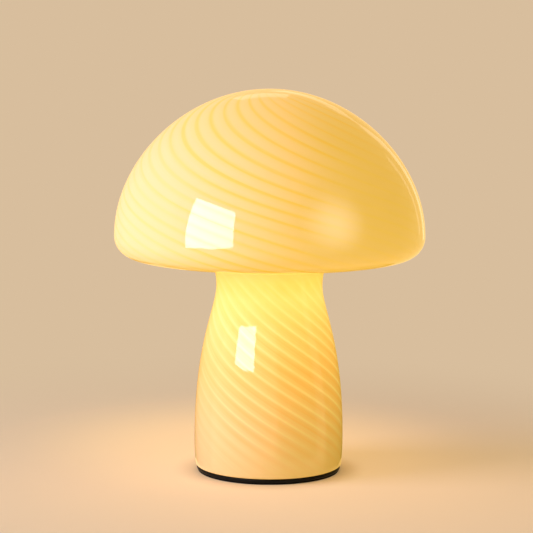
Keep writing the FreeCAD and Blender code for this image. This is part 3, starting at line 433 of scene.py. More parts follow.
FINISHES = (
    Finish(Slot.BLACK_BASE, (0.006, 0.006, 0.006), (0.012, 0.011, 0.011), 0.42, specular=0.12,
           grain_size=0.0005, height=0.00003, mottling=0.4, dust=0.02),
    Finish(Slot.BLACK_RUBBER, (0.004, 0.004, 0.004), (0.009, 0.008, 0.008), 0.72, specular=0.06,
           grain_size=0.0004, height=0.00003, dust=0.02),
    Finish(Slot.STEEL, (0.60, 0.60, 0.58), (0.44, 0.43, 0.40), 0.34, 1.0, grain=Grain.LEVEL, mottling=0.6),
    Finish(Slot.SPRING_STEEL, (0.52, 0.53, 0.55), (0.40, 0.41, 0.43), 0.24, 1.0, grain=Grain.UPRIGHT),
    Finish(Slot.RIVET_ALUMINIUM, (0.80, 0.80, 0.79), (0.64, 0.64, 0.63), 0.30, 1.0),
    Finish(Slot.HOLDER_PLASTIC, (0.022, 0.021, 0.021), (0.036, 0.034, 0.033), 0.38, grain_size=0.0009,
           height=0.00004, dust=0.06),
    Finish(Slot.WHITE_CERAMIC, (0.80, 0.77, 0.71), (0.70, 0.66, 0.58), 0.28, coat=0.5, grain_size=0.0015),
    Finish(Slot.BRASS, (0.74, 0.52, 0.20), (0.52, 0.33, 0.12), 0.26, 1.0, grain=Grain.LEVEL, mottling=0.7),
    Finish(Slot.TIP_METAL, (0.70, 0.69, 0.66), (0.52, 0.50, 0.46), 0.36, 1.0),
    Finish(Slot.BULB_BLACK, (0.020, 0.019, 0.019), (0.034, 0.032, 0.031), 0.30, coat=0.4),
    Finish(Slot.BULB_NICKEL, (0.74, 0.72, 0.68), (0.58, 0.55, 0.50), 0.18, 1.0, grain=Grain.LEVEL),
    Finish(Slot.BULB_WHITE, (0.80, 0.79, 0.76), (0.74, 0.72, 0.67), 0.40, grain_size=0.0008),
    Finish(Slot.BOARD_WHITE, (0.82, 0.81, 0.77), (0.76, 0.74, 0.68), 0.30, coat=0.3),
    Finish(Slot.LED_YELLOW, (0.90, 0.70, 0.16), (0.84, 0.60, 0.10), 0.22, coat=0.5, glow=2.0,
           glow_colour=(1.0, 0.72, 0.34)),
    Finish(Slot.CARD_GREEN, (0.035, 0.17, 0.06), (0.025, 0.11, 0.04), 0.34, coat=0.3),
    Finish(Slot.GLOBE_WHITE, (0.86, 0.84, 0.78), (0.80, 0.77, 0.70), 0.46, grain_size=0.0003,
           height=0.00002, glow=0.8, glow_colour=(1.0, 0.74, 0.40)),
    Finish(Slot.BLOCK_WHITE, (0.74, 0.72, 0.66), (0.66, 0.63, 0.56), 0.44),
    Finish(Slot.LEAD_BROWN, (0.16, 0.065, 0.028), (0.11, 0.045, 0.02), 0.36),
    Finish(Slot.LEAD_BLUE, (0.028, 0.085, 0.32), (0.02, 0.06, 0.24), 0.36),
)


class Dresser:
    """Gives each piece that keeps its own shape the finish of its slot."""

    def __init__(self, finishes: Sequence[Finish]) -> None:
        """Builds the material of each slot's finish."""
        marks = surface_marks_group()
        self.materials = {f.slot.value: f.build(marks) for f in finishes}

    def dress(self, record: dict, nodes: dict[str, bpy.types.Object]) -> None:
        """Puts each node's material on it.

        Args:
            record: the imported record, which names each node's slot.
            nodes: the model's nodes by name.
        """
        for part in record["subparts"]:
            material = self.materials.get(part["material_slot"])
            if material is None:
                continue
            mesh = nodes[part["node"]].data
            mesh.materials.clear()
            mesh.materials.append(material)
            log.info("%s takes %s", part["node"], material.name)


# ---- the blown glass ----
GLOW_BY_HEIGHT = (
    (0.00, (0.33, 0.222, 0.026)), (0.17, (0.54, 0.33, 0.046)), (0.29, (0.69, 0.415, 0.066)),
    (0.39, (0.84, 0.55, 0.120)), (0.47, (0.94, 0.69, 0.165)), (0.51, (0.92, 0.62, 0.105)),
    (0.56, (0.62, 0.38, 0.024)), (0.70, (0.60, 0.352, 0.006)), (0.81, (0.60, 0.338, 0.004)),
    (1.00, (0.60, 0.32, 0.003)))
"""The colour of the light through the glass at shares of its height."""


@dataclass(frozen=True)
class Fade:
    """A mask that changes toward one side of the glass, between two shares of a radius. Each one here is
    painted light: it thins the lines on the side that a studio light faces.
    """

    azimuth: float
    shares: Span
    levels: Span

    def mask(self, nodes: Nodes, place: object, radius: float) -> Socket:
        """Adds the mask for a place, by shares of the radius given, and returns its socket."""
        return nodes.ramp(nodes.toward(place, self.azimuth, radius), *self.shares, *self.levels)


@dataclass(frozen=True)
class OpalGlass:
    """The glass's finish: bands and threads of colour, a clear gloss and the light that comes through.

    Names that end in z are the heights where a change starts and where it is full. The amber levels are the
    least and the rest of the lines' strength over the broad streaks and over the fine ones. The cloud and
    the ripple are noises: steps to a metre, detail and roughness. The fades of the lines toward the key
    light's side and the fill light's side are painted light.
    """

    trough: Colour = (0.90, 0.57, 0.31)
    thread: Colour = (0.92, 0.71, 0.55)
    stem_tint: Colour = (1.0, 0.87, 0.68)
    stem_tint_z: Span = (0.022, 0.075)
    cap: Colour = (0.93, 0.78, 0.61)
    cap_z: Span = (0.112, 0.130)
    top_tint: Colour = (1.0, 0.97, 0.88)
    top_tint_z: Span = (0.185, 0.222)
    streak: Colour = (0.92, 0.76, 0.50)
    streak_share: float = 0.22
    amber: Colour = (0.89, 0.71, 0.28)
    # Painted light: the amber lines thin toward the side the fill light faces and toward the key light's
    # side.
    painted_light_line_fades: tuple[Fade, ...] = (Fade(62.0, (0.55, 0.86), (1.0, 0.26)),
                                     Fade(-70.0, (0.50, 0.95), (1.0, 0.50)))
    amber_levels: tuple[Span, ...] = ((0.72, 0.4), (0.85, 0.3))
    amber_glow_tint: Colour = (1.0, 0.95, 0.60)
    # Painted light: the stem's pale threads turn even on the side that the key light faces.
    painted_light_even_side: Fade = Fade(-80.0, (0.45, 0.98), (0.0, 0.7))
    even_neck_z: Span = (0.088, 0.106)
    even_neck_share: float = 0.5
    trough_glow_tint: Colour = (0.86, 0.76, 0.48)
    trough_glow_share: float = 0.6
    thread_glow: Colour = (0.10, 0.15, 0.05)
    thread_glow_share: float = 0.5
    mask_range: Span = (0.3, 0.7)
    roughness: Span = (0.035, 0.06)
    cloud: tuple[float, float, float] = (22.0, 3.0, 0.55)
    ripple: tuple[float, float, float] = (30.0, 1.0, 0.4)
    ripple_height: float = 0.0004
    ripple_strength: float = 0.12

    def build(self, shade: "GlassShade") -> bpy.types.Material:
        """Makes the material.

        Args:
            shade: the glass, for its radii, height and count of bands.

        Returns:
            The material.
        """
        made = Material("swirled_opal_glass")
        nodes = made.nodes
        cap_map, stem_map = [nodes.add("ShaderNodeUVMap", uv_map=name).outputs[0] for name in UV_MAPS]
        place = nodes.stretched()
        z = nodes.parts_of(place)["Z"]
        lines = made.group(swirl_lines_group(), Cap_Lines=cap_map, Stem_Lines=stem_map, Place=place,
                           Cap_Bands=float(shade.cap_bands))
        amber, pale = lines["Amber"], lines["Pale"]
        streaks, broad = [nodes.ramp(lines[name], *self.mask_range) for name in ("Streaks", "Broad")]
        # Painted light: the lines weaken on the sides that face the key and the fill light.
        for fade in self.painted_light_line_fades:
            amber = nodes.times(amber, fade.mask(nodes, place, shade.cap_radius))
        for mask, (least, more) in zip((broad, streaks), self.amber_levels):
            amber = nodes.times(amber, nodes.maths("ADD", nodes.times(mask, more), least))
        # Painted light on the key light's side, together with the threads evening out near the neck.
        even = nodes.maths("MAXIMUM", self.painted_light_even_side.mask(nodes, place, shade.stem_radius),
                           nodes.ramp(z, *self.even_neck_z, 0.0, self.even_neck_share))
        pale = nodes.mix_value(even, pale, NO_LINE)
        base = nodes.mix(nodes.ramp(pale, 0.0, 1.0, smooth=False), self.trough, self.thread)
        base = nodes.mix(nodes.ramp(z, *self.stem_tint_z), base, self.stem_tint, "MULTIPLY")
        base = nodes.mix(nodes.ramp(z, *self.cap_z), base, self.cap)
        base = nodes.mix(nodes.ramp(z, *self.top_tint_z), base, self.top_tint, "MULTIPLY")
        base = nodes.mix(nodes.times(streaks, self.streak_share), base, self.streak)
        made.feed("Base Color", nodes.mix(amber, base, self.amber))
        glow = nodes.colours(nodes.ramp(z, 0.0, shade.height, smooth=False), GLOW_BY_HEIGHT)
        glow = nodes.mix(amber, glow, self.amber_glow_tint, "MULTIPLY")
        in_trough = nodes.times(nodes.maths("SUBTRACT", 1.0, pale), self.trough_glow_share)
        glow = nodes.mix(in_trough, glow, self.trough_glow_tint, "MULTIPLY")
        on_thread = nodes.ramp(pale, NO_LINE, 1.0, 0.0, self.thread_glow_share)
        made.feed("Emission Color", nodes.mix(on_thread, glow, self.thread_glow, "ADD"))
        made.plain(Emission_Strength=1.0, Metallic=0.0, IOR=1.5)
        cloud = nodes.noise(place, *self.cloud)
        made.feed("Roughness", nodes.ramp(cloud, *self.mask_range, *self.roughness))
        made.bump(nodes.noise(place, *self.ripple), self.ripple_height, self.ripple_strength)
        return made.material


def bezier(poles: Sequence[Sequence[float]], count: int) -> np.ndarray:
    """Points on a Bezier curve: each pole times its Bernstein polynomial in t, added up.

    Args:
        poles: two to four (r, z) poles.
        count: how many points, spaced evenly in t.

    Returns:
        An array of (r, z) points.
    """
    t = np.linspace(0.0, 1.0, count)[:, None]
    degree = len(poles) - 1
    return sum(math.comb(degree, k) * t ** k * (1 - t) ** (degree - k) * np.array(pole, float)
               for k, pole in enumerate(poles))


def lengths_along(points: np.ndarray) -> np.ndarray:
    """The distance along a line of points from the first to each of them."""
    return np.concatenate([[0.0], np.cumsum(np.linalg.norm(np.diff(points, axis=0), axis=1))])


def even_points(points: np.ndarray, step: float) -> np.ndarray:
    """Points at even distances along a line of points, both ends kept.

    Args:
        points: the line's (r, z) points.
        step: about how far apart the new ones are.

    Returns:
        The new (r, z) points.
    """
    along = lengths_along(points)
    wanted = np.linspace(0.0, along[-1], max(2, round(along[-1] / step) + 1))
    return np.stack([np.interp(wanted, along, points[:, k]) for k in range(2)], axis=1)


def ease(value: np.ndarray, low: float, high: float) -> np.ndarray:
    """A smooth step: 0 up to low, 1 from high, and 3t^2 - 2t^3 between."""
    t = np.clip((value - low) / (high - low), 0.0, 1.0)
    return t * t * (3 - 2 * t)


DOME_POINTS, RIM_POINTS, SIDE_POINTS, FOOT_POINTS = 400, 100, 300, 60
"""How many fine points each curve of the outline starts from."""
TINY = 1e-12


@dataclass
class GlassShade:
    """The cap and stem, blown in one, with shallow swirled flutes on the outside.

    Reaches and rises are shares of the distance between two points of the outline. Leads are turns in
    degrees to a mm along it, and spans are where lines appear or end, in mm or as shares of the underside.
    """

    height: float = 0.229
    cap_radius: float = 0.0925
    cap_widest_z: float = 0.142
    lip_radius: float = 0.0123
    neck_radius: float = 0.0317
    neck_z: float = 0.112
    stem_radius: float = 0.0446
    stem_widest_z: float = 0.020
    foot_radius: float = 0.0439
    foot_z: float = 0.0034
    edge_round: float = 0.001
    edge_steps: int = 4
    wall: float = 0.003
    quarter_share: float = 0.5523
    dome_side: float = 0.50
    underside_reach: float = 0.83
    underside_rise: float = 1.05
    neck_reach: float = 0.15
    stem_reach: float = 0.63
    cap_bands: int = 28
    stem_bands: int = 22
    columns: int = 308
    row_step: float = 0.0015
    inner_step: float = 0.007
    flute_depth: float = 0.000012
    cap_lead_top: float = 0.75
    cap_lead_rim: float = 2.0
    lead_full_mm: float = 115.0
    lead_power: float = 2.5
    stem_lead: float = 2.0
    cap_line_mm: float = 81.0
    stem_line_mm: float = 61.0
    cap_lines_mm: Span = (6.0, 34.0)
    cap_lines_end: Span = (0.05, 0.5)
    stem_lines_start: Span = (0.6, 0.98)
    stem_lines_end_mm: Span = (84.0, 112.0)
    flute_power: int = 4
    notch_reach: float = 0.0049
    notch_top: float = 0.0146
    notch_corner: float = 0.003
    notch_corner_points: int = 8
    notch_below: float = 0.004
    notch_y: Span = (0.020, 0.060)
    finish: OpalGlass = OpalGlass()

    def outline(self, inset: float) -> list[np.ndarray]:
        """The glass's outline as fine points, moved in by inset.

        Args:
            inset: 0 for the outside, the wall for the inside.

        Returns:
            The dome with its lip, the underside with the neck's top, and the stem.
        """
        top = (0.0, self.height - inset)
        widest = (self.cap_radius - inset, self.cap_widest_z)
        lip = (self.cap_radius - self.lip_radius, self.cap_widest_z - self.lip_radius + inset)
        neck = (self.neck_radius - inset, self.neck_z)
        stem = (self.foot_radius - inset if inset else self.stem_radius, self.stem_widest_z)
        share = self.quarter_share
        drop = neck[1] - stem[1]
        dome = bezier((top, (share * widest[0], top[1]),
                       (widest[0], widest[1] + self.dome_side * (top[1] - widest[1])), widest), DOME_POINTS)
        rim = bezier((widest, (widest[0], widest[1] - share * (widest[1] - lip[1])),
                      (lip[0] + share * (widest[0] - lip[0]), lip[1]), lip), RIM_POINTS)
        under = bezier((lip, (lip[0] - self.underside_reach * (lip[0] - neck[0]), lip[1]),
                        (neck[0], neck[1] + self.underside_rise * (lip[1] - neck[1])), neck), SIDE_POINTS)
        side = bezier((neck, (neck[0], neck[1] - self.neck_reach * drop),
                       (stem[0], stem[1] + self.stem_reach * drop), stem), SIDE_POINTS)
        low = (self.foot_radius - inset, self.foot_z + self.edge_round)
        foot = bezier((stem, (stem[0], (self.stem_widest_z + self.foot_z) / 2), low), FOOT_POINTS)
        return [np.vstack([dome, rim[1:]]), under, np.vstack([side, foot[1:]])]

    def twist(self, along: np.ndarray, part: int) -> np.ndarray:
        """How far the swirl has turned, in degrees, at distances in mm along one part of the outline.

        On the cap the turn to a mm is a lead plus a share that grows with the distance to lead_power and
        stays even past the shoulder; on the stem it is even.

        Args:
            along: distances from the part's start.
            part: 0 for the cap, 2 for the stem.

        Returns:
            The turn at each distance.
        """
        if part:
            return self.stem_lead * along
        full, power = self.lead_full_mm, self.lead_power
        inside = np.minimum(along, full)
        grown = (self.cap_lead_rim - self.cap_lead_top) * full / (power + 1) * (inside / full) ** (power + 1)
        return self.cap_lead_top * inside + grown + self.cap_lead_rim * np.maximum(along - full, 0.0)

    def rows(self) -> tuple[np.ndarray, np.ndarray, np.ndarray, np.ndarray]:
        """The grid's rows from the top of the cap outside, round the foot and up to the top inside.

        Returns:
            The rows' (r, z) points, their turns in degrees, and the strengths of the cap's and the stem's
            lines on them.
        """
        cap, under, stem = [even_points(p, self.row_step) for p in self.outline(0.0)]
        cap_along, under_along, stem_along = [lengths_along(p) / MM for p in (cap, under, stem)]
        cap_turn = self.twist(cap_along, 0) - self.twist(np.array([self.cap_line_mm]), 0)
        spacing = 360.0 / self.stem_bands
        stem_start = -self.stem_lead * self.stem_line_mm
        wanted = cap_turn[-1] + self.stem_lead * under_along[-1]
        stem_start += spacing * round((wanted - stem_start) / spacing)
        under_turn = cap_turn[-1] + (stem_start - cap_turn[-1]) * under_along / under_along[-1]
        stem_turn = stem_start + self.twist(stem_along, 2)
        edge = self.edge_round
        angles = np.radians(np.linspace(0.0, 90.0, self.edge_steps + 1)[1:])
        bore = self.foot_radius - self.wall
        outer_round = np.stack([self.foot_radius - edge + edge * np.cos(angles),
                                self.foot_z + edge - edge * np.sin(angles)], axis=1)
        inner_round = np.stack([bore + edge - edge * np.cos(angles[::-1]),
                                self.foot_z + edge - edge * np.sin(angles[::-1])], axis=1)
        inner = [even_points(p, self.inner_step)[::-1] for p in self.outline(self.wall)[::-1]]
        back = np.vstack([inner_round, inner[0], inner[1][1:], inner[2][1:]])
        points = np.vstack([cap, under[1:], stem[1:], outer_round, back])
        turns = np.concatenate([cap_turn, under_turn[1:], stem_turn[1:]])
        outside = len(turns)
        turns = np.concatenate([turns, np.full(len(points) - outside, turns[-1])])
        cap_count, under_count = len(cap), len(under) - 1
        cap_strength, stem_strength = np.zeros(len(points)), np.zeros(len(points))
        under_rows = slice(cap_count, cap_count + under_count)
        under_t = np.linspace(0, 1, under_count + 1)[1:]
        cap_strength[:cap_count] = ease(cap_along, *self.cap_lines_mm)
        cap_strength[under_rows] = 1 - ease(under_t, *self.cap_lines_end)
        stem_strength[under_rows] = ease(under_t, *self.stem_lines_start)
        stem_strength[under_rows.stop:outside] = 1 - ease(stem_along[1:], *self.stem_lines_end_mm)
        return points, turns, cap_strength, stem_strength

    def mesh(self) -> bpy.types.Mesh:
        """The closed glass as a grid of rows round the axis, its columns following the swirl.

        A point is the outline's (r, z) turned to its column's angle plus its row's turn, moved in along the
        outline's normal by the flute: half of 1 - cosine of the band count, to flute_power, times its depth.

        Returns:
            The mesh, with the UV maps cap_lines and stem_lines.
        """
        points, turns, cap_strength, stem_strength = self.rows()
        body = slice(1, len(points) - 1)
        along = np.gradient(points, axis=0)
        normal = np.stack([-along[:, 1], along[:, 0]], axis=1)
        normal /= np.maximum(np.linalg.norm(normal, axis=1), TINY)[:, None]
        share = np.arange(self.columns) / self.columns
        valley = [(0.5 - 0.5 * np.cos(math.tau * count * share)) ** self.flute_power
                  for count in (self.cap_bands, self.stem_bands)]
        depth = self.flute_depth * (cap_strength[body, None] * valley[0]
                                    + stem_strength[body, None] * valley[1])
        radius = points[body, 0, None] + normal[body, 0, None] * depth
        z = points[body, 1, None] + normal[body, 1, None] * depth
        angle = np.radians(turns[body, None]) + math.tau * share
        grid = np.stack([radius * np.sin(angle), -radius * np.cos(angle), z + 0 * angle], axis=-1)
        rows, columns = grid.shape[:2]
        top, bottom = (0.0, 0.0, points[0, 1]), (0.0, 0.0, points[-1, 1])
        vertices = np.vstack([grid.reshape(-1, 3), [top, bottom]])
        row, column = np.meshgrid(np.arange(rows - 1), np.arange(columns), indexing="ij")
        after = (column + 1) % columns
        quads = np.stack([row * columns + column, (row + 1) * columns + column,
                          (row + 1) * columns + after, row * columns + after], axis=-1).reshape(-1, 4)
        around = np.arange(columns)
        nxt = (around + 1) % columns
        first = np.stack([np.full(columns, rows * columns), around, nxt], axis=1)
        last_row = (rows - 1) * columns
        last = np.stack([np.full(columns, rows * columns + 1), last_row + nxt, last_row + around], axis=1)
        mesh = bpy.data.meshes.new("glass_shade")
        mesh.from_pydata(vertices.tolist(), [], quads.tolist() + first.tolist() + last.tolist())
        for name, count, strength in zip(UV_MAPS, (self.cap_bands, self.stem_bands),
                                         (cap_strength[body], stem_strength[body])):
            u = np.stack([column, column, column + 1, column + 1], axis=-1) / columns * count
            v = np.stack([strength[row], strength[row + 1], strength[row + 1], strength[row]], axis=-1)
            grid_uv = np.stack([u, v], axis=-1).reshape(-1, 2)
            fan = np.zeros((2, columns, 3, 2))
            fan[0, :, :, 0] = np.stack([around + 0.5, around, around + 1], axis=1) / columns * count
            fan[1, :, :, 0] = np.stack([around + 0.5, around + 1, around], axis=1) / columns * count
            layer = mesh.uv_layers.new(name=name)
            layer.data.foreach_set("uv", np.concatenate([grid_uv.ravel(), fan.ravel()]).astype(np.float32))
        mesh.polygons.foreach_set("use_smooth", np.ones(len(mesh.polygons), bool))
        mesh.update()
        return mesh

    def notch_cutter(self) -> bpy.types.Object:
        """A bar along +Y whose section is the notch: straight sides and two rounded top corners.

        Its faces point outwards, because the cut does nothing with a bar that is inside out.

        Returns:
            The bar's object.
        """
        angles = np.linspace(0, math.pi / 2, self.notch_corner_points)
        reach, corner = self.notch_reach, self.notch_corner
        right = np.stack([reach - corner + corner * np.cos(angles),
                          self.notch_top - corner + corner * np.sin(angles)], axis=1)
        left = right[::-1] * (-1, 1)
        low = self.foot_z - self.notch_below
        section = np.vstack([[(reach, low)], right, left, [(-reach, low)]])
        count = len(section)
        near, far = [np.insert(section, 1, y, axis=1) for y in self.notch_y]
        k = np.arange(count)
        sides = np.stack([k, k + count, (k + 1) % count + count, (k + 1) % count], axis=1)
        mesh = bpy.data.meshes.new("notch")
        faces = sides.tolist() + [list(range(count)), list(range(2 * count - 1, count - 1, -1))]
        mesh.from_pydata(np.vstack([near, far]).tolist(), [], faces)
        return add_object("notch", mesh)

    def build(self) -> bpy.types.Object:
        """Makes the glass, cuts its notch, and has it stand for the model's own.

        Returns:
            The glass's object.
        """
        glass = add_object("glass_shade", self.mesh())
        cutter = self.notch_cutter()
        cut = glass.modifiers.new("notch", "BOOLEAN")
        cut.operation, cut.solver, cut.object = "DIFFERENCE", "EXACT", cutter
        bpy.context.view_layer.update()
        seen = bpy.context.evaluated_depsgraph_get()
        finished = bpy.data.meshes.new_from_object(glass.evaluated_get(seen))
        glass.modifiers.clear()
        glass.data = finished
        finished.name = "glass_shade"
        bpy.data.objects.remove(cutter)
        finished.materials.clear()
        finished.materials.append(self.finish.build(self))
        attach(glass, Body.GLASS.value)
        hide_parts("glass_body")
        log.info("glass_shade has %d faces", len(finished.polygons))
        return glass


# ---- studio ----
@dataclass(frozen=True)
class AreaLight:
    """A rectangular studio light, aimed at a point."""

    name: str
    place: Point
    aim: Point
    size: tuple[float, float]
    power: float
    colour: Colour = (1.0, 1.0, 1.0)
    diffuse: bool = True
    glossy: bool = True
    roll: float = 0.0
    soft_edge: bool = False
    floor_only: bool = False

    def build(self, floor: bpy.types.Object) -> None:
        """Adds the light to the scene.

        Args:
            floor: the floor, which is all that a light for the floor only falls on.
        """
        data = bpy.data.lights.new(self.name, "AREA")
        if self.soft_edge:
            self.fade(data)
        data.shape = "RECTANGLE"
        data.size, data.size_y = self.size
        data.energy = self.power
        data.color = self.colour
        light = add_object(self.name, data)
        direction = Vector(self.aim) - Vector(self.place)
        turn = direction.to_track_quat("-Z", "Y").to_matrix().to_4x4()
        light.matrix_world = (Matrix.Translation(self.place) @ turn
                              @ Matrix.Rotation(math.radians(self.roll), 4, "Z"))
        light.visible_camera = False
        light.visible_diffuse = self.diffuse
        light.visible_glossy = self.glossy
        if self.floor_only:
            lit = bpy.data.collections.new(self.name)
            lit.objects.link(floor)
            light.light_linking.receiver_collection = lit

    def fade(self, data: bpy.types.AreaLight) -> None:
        """Makes the light weaken from its middle to nothing at its edge.

        Args:
            data: the light, whose two parameters give the place on it.
        """
        data.use_nodes = True
        nodes = Nodes(data.node_tree)
        given = nodes.parts_of(nodes.add("ShaderNodeNewGeometry").outputs["Parametric"])
        aside = [nodes.maths("POWER", nodes.maths("SUBTRACT", given[axis], 0.5), 2.0) for axis in "XY"]
        distance = nodes.maths("SQRT", nodes.maths("ADD", *aside))
        level = nodes.ramp(distance, 0.0, 0.5, 1.0, 0.0)
        nodes.link(level, data.node_tree.nodes["Emission"].inputs["Strength"])


@dataclass(frozen=True)
class Flag:
    """A small black card that trims the lights' reflections: a quad at one radius between two directions.

    Its lower edge may slope. It is seen by gloss only.
    """

    name: str
    radius: float
    sides: Span
    low: Span = (0.001, 0.001)

    def build(self, top: float, material: bpy.types.Material) -> None:
        """Adds the card to the scene.

        Args:
            top: the height of its upper edge.
            material: its finish.
        """
        turn = np.radians(self.sides)
        x, y = self.radius * np.sin(turn), -self.radius * np.cos(turn)
        corners = [(x[0], y[0], self.low[0]), (x[1], y[1], self.low[1]), (x[1], y[1], top), (x[0], y[0], top)]
        mesh = bpy.data.meshes.new(self.name)
        mesh.from_pydata(corners, [], [(0, 1, 2, 3)])
        mesh.materials.append(material)
        flag = add_object(self.name, mesh)
        flag.visible_camera = flag.visible_diffuse = flag.visible_shadow = flag.visible_transmission = False


LIP_FLAGS, STEM_FLAGS = 0.086, 0.056
"""How far from the middle the cards under the lip stand, and those beside the stem."""
FLAGS = (
    Flag("left_flag", LIP_FLAGS, (-50.0, -20.0), (0.1066, 0.1103)),
    Flag("far_left_flag", LIP_FLAGS, (-80.0, -50.0), (0.1029, 0.1066)),
    Flag("front_flag", LIP_FLAGS, (-20.0, 10.0), (0.1103, 0.1140)),
    Flag("left_side_flag", STEM_FLAGS, (-108.0, -62.0)),
    Flag("left_back_flag", STEM_FLAGS, (-154.0, -108.0)),
    Flag("right_flag", LIP_FLAGS, (10.0, 60.0), (0.004, 0.004)),
    Flag("right_side_flag", STEM_FLAGS, (62.0, 108.0)),
    Flag("right_back_flag", STEM_FLAGS, (108.0, 154.0)),
)


@dataclass
class Studio:
    """A pale warm floor that fades into an even backdrop, soft lights, flags and the camera."""

    backdrop: Colour = (0.687, 0.515, 0.338)
    floor: Colour = (0.78, 0.66, 0.50)
    ambient: Colour = (1.0, 0.88, 0.46)
    ambient_level: float = 0.10
    near_share: float = 0.46
    # Painted pool of the lamp's warm light on the floor, seen by the camera only.
    painted_lamp_glow: Colour = (0.20, 0.105, 0.015)
    painted_lamp_glow_middle: Point = (-0.02, 0.09, 0.0)
    painted_lamp_glow_span: Span = (0.04, 0.17)
    # Painted contact shadow: the floor's seen brightness is dimmed close round the lamp's base.
    painted_contact_shadow_span: Span = (0.043, 0.060)
    painted_contact_shadow_level: float = 0.45
    floor_least: float = 0.97
    floor_cloud: Span = (3.0, 2.0)
    floor_radii: Span = (0.05, 40.0)
    floor_rings: int = 40
    floor_sides: int = 96
    fade_span: Span = (0.10, 0.40)
    focal: float = 147.24
    sensor: float = 36.0
    clip: Span = (0.05, 100.0)
    camera_place: Point = (-0.00179, -1.2894, 0.2964)
    tilt_down: float = 7.65
    lean: float = 0.32
    flag_top: float = 0.129

    def seen(self, nodes: Nodes) -> Socket:
        """Adds a mask that is 1 for rays from the camera, off gloss or through glass, and 0 for the rest.

        Args:
            nodes: the tree's builder.

        Returns:
            The mask's socket.
        """
        path = nodes.add("ShaderNodeLightPath").outputs
        total = nodes.maths("ADD", path["Is Camera Ray"], path["Is Glossy Ray"])
        return nodes.maths("ADD", total, path["Is Transmission Ray"], clamp=True)

    def build_world(self) -> None:
        """The even backdrop, which also gives the soft light from all round."""
        world = bpy.data.worlds.new("studio")
        bpy.context.scene.world = world
        world.use_nodes = True
        nodes = Nodes(world.node_tree)
        background = world.node_tree.nodes["Background"]
        level = tuple(self.ambient_level * c for c in self.ambient)
        nodes.link(nodes.mix(self.seen(nodes), level, self.backdrop), background.inputs["Color"])
        background.inputs["Strength"].default_value = 1.0

    def build_floor(self) -> bpy.types.Object:
        """A level disc: radius and angle on a grid, its finish fading to the backdrop far from the lamp.
        Near the lamp its seen emission holds a painted contact shadow round the base and a painted pool of
        the lamp's warm light.

        Returns:
            The floor's object.
        """
        rings, sides = self.floor_rings, self.floor_sides
        radii = np.geomspace(*self.floor_radii, rings)[:, None]
        angles = np.arange(sides) / sides * math.tau
        grid = np.stack([radii * np.cos(angles), radii * np.sin(angles), np.zeros((rings, sides))], axis=-1)
        row, column = np.meshgrid(np.arange(rings - 1) * sides, np.arange(sides), indexing="ij")
        after = (column + 1) % sides
        quads = np.stack([row + column, row + sides + column, row + sides + after, row + after], axis=-1)
        around = np.arange(sides)
        fan = np.stack([np.full(sides, rings * sides), around, (around + 1) % sides], axis=1)
        points = np.vstack([grid.reshape(-1, 3), [(0, 0, 0)]])
        mesh = bpy.data.meshes.new("floor")
        mesh.from_pydata(points.tolist(), [], quads.reshape(-1, 4).tolist() + fan.tolist())
        floor = add_object("floor", mesh)
        made = Material("studio_floor")
        nodes = made.nodes
        place = nodes.stretched()
        soft = nodes.noise(place, *self.floor_cloud)
        least = tuple(self.floor_least * c for c in self.floor)
        made.feed("Base Color", nodes.mix(soft, self.floor, least))
        made.plain(Roughness=0.9, Specular_IOR_Level=0.1)
        length = nodes.measure("LENGTH", place)
        seen = self.seen(nodes)
        # Painted light: a warm pool of the lamp's glow is added to the floor's seen emission.
        away = nodes.measure("DISTANCE", place, self.painted_lamp_glow_middle)
        near = nodes.ramp(away, *self.painted_lamp_glow_span, 1.0, 0.0)
        # Painted contact shadow: the seen emission darkens close to the base.
        painted_contact_shadow = nodes.ramp(length, *self.painted_contact_shadow_span, self.painted_contact_shadow_level, 1.0)
        level = nodes.mix(painted_contact_shadow, BLACK, tuple(self.near_share * c for c in self.backdrop))
        glow = nodes.mix(near, level, self.painted_lamp_glow, "ADD")
        made.feed("Emission Color", nodes.mix(seen, BLACK, glow))
        made.plain(Emission_Strength=1.0)
        far = nodes.times(nodes.ramp(length, *self.fade_span), seen)
        backdrop = nodes.add("ShaderNodeEmission", {"Color": self.backdrop}).outputs[0]
        mixed = nodes.add("ShaderNodeMixShader", {0: far, 1: made.shader.outputs[0], 2: backdrop}).outputs[0]
        nodes.link(mixed, made.material.node_tree.nodes["Material Output"].inputs["Surface"])
        mesh.materials.append(made.material)
        return floor

    def build_flags(self) -> None:
        """The black cards under the cap's lip and beside the stem."""
        made = Material("flag_black")
        made.plain(Base_Color=BLACK, Roughness=1.0, Specular_IOR_Level=0.0)
        for flag in FLAGS:
            flag.build(self.flag_top, made.material)

    def build_camera(self) -> None:
        """The camera at the photograph's place, tilted down and leaning a little."""
        data = bpy.data.cameras.new("camera")
        data.lens, data.sensor_width = self.focal, self.sensor
        data.clip_start, data.clip_end = self.clip
        camera = add_object("camera", data)
        camera.matrix_world = (Matrix.Translation(self.camera_place)
                               @ Matrix.Rotation(math.radians(90 - self.tilt_down), 4, "X")
                               @ Matrix.Rotation(math.radians(self.lean), 4, "Z"))
        bpy.context.scene.camera = camera

    def build(self) -> None:
        """Makes the camera, the world, the floor, the flags and the lights."""
        self.build_camera()
        self.build_world()
        floor = self.build_floor()
        self.build_flags()
        for light in LIGHTS:
            light.build(floor)
        bpy.context.scene.view_settings.view_transform = "Standard"


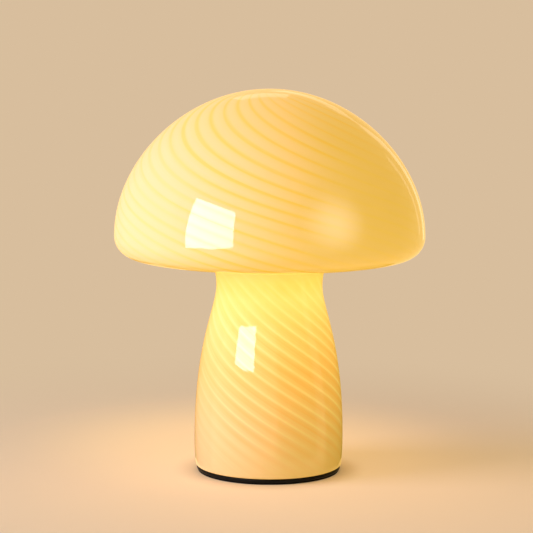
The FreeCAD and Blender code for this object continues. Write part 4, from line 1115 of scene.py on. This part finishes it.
LAMP_MIDDLE, CAP_EDGE = (0.0, 0.0, 0.12), (0.09, 0.0, 0.15)
WARM_WHITE = (1.0, 0.90, 0.80)
LIGHTS = (
    AreaLight("key", (-1.49, -0.42, 0.684), LAMP_MIDDLE, (0.9, 0.9), 17.4, (0.84, 0.74, 1.0), glossy=False),
    AreaLight("warm_front", (-0.62, -0.88, 0.90), LAMP_MIDDLE, (0.7, 0.7), 3.6, (1.0, 0.82, 0.50),
              glossy=False),
    AreaLight("window", (-0.301, -0.369, 0.270), (0.051, -0.179, 0.270), (0.303, 0.292), 3.1,
              (0.90, 0.84, 1.0), diffuse=False, roll=2.5),
    AreaLight("fill", (1.3, -0.9, 0.9), LAMP_MIDDLE, (1.2, 1.2), 1.1, (1.0, 0.79, 0.30), glossy=False),
    AreaLight("floor_warmth", (0.42, -0.20, 0.34), (0.10, -0.02, 0.0), (0.3, 0.3), 0.60, (1.0, 0.52, 0.12),
              glossy=False, floor_only=True),
    AreaLight("soft_gleam", (0.48, -0.44, 0.33), (0.02, -0.02, 0.16), (0.68, 0.68), 5.6, (1.0, 0.95, 0.88),
              diffuse=False, soft_edge=True),
    AreaLight("top_gleam", (-0.04, 0.9, 0.75), (0.0, 0.0, 0.22), (0.26, 0.19), 0.085, (1.0, 0.92, 0.84),
              diffuse=False),
    AreaLight("shoulder_gleam", (0.21, 1.0, 0.60), (0.05, 0.0, 0.20), (0.44, 0.13), 0.08, WARM_WHITE,
              diffuse=False, roll=-25.0),
    AreaLight("edge_line", (0.50, 1.0, 0.32), CAP_EDGE, (0.13, 0.66), 0.14, WARM_WHITE, diffuse=False),
    AreaLight("inner_line", (0.82, 1.0, 0.34), CAP_EDGE, (0.08, 0.6), 0.06, WARM_WHITE, diffuse=False),
)


def main() -> None:
    """Builds the studio, dresses the model's nodes and makes the glass."""
    logging.basicConfig(level=logging.INFO, format="%(name)s: %(message)s")
    Studio().build()
    Dresser(FINISHES).dress(frame["record"], frame["nodes"])
    GlassShade().build()


if __name__ == "__main__":
    main()
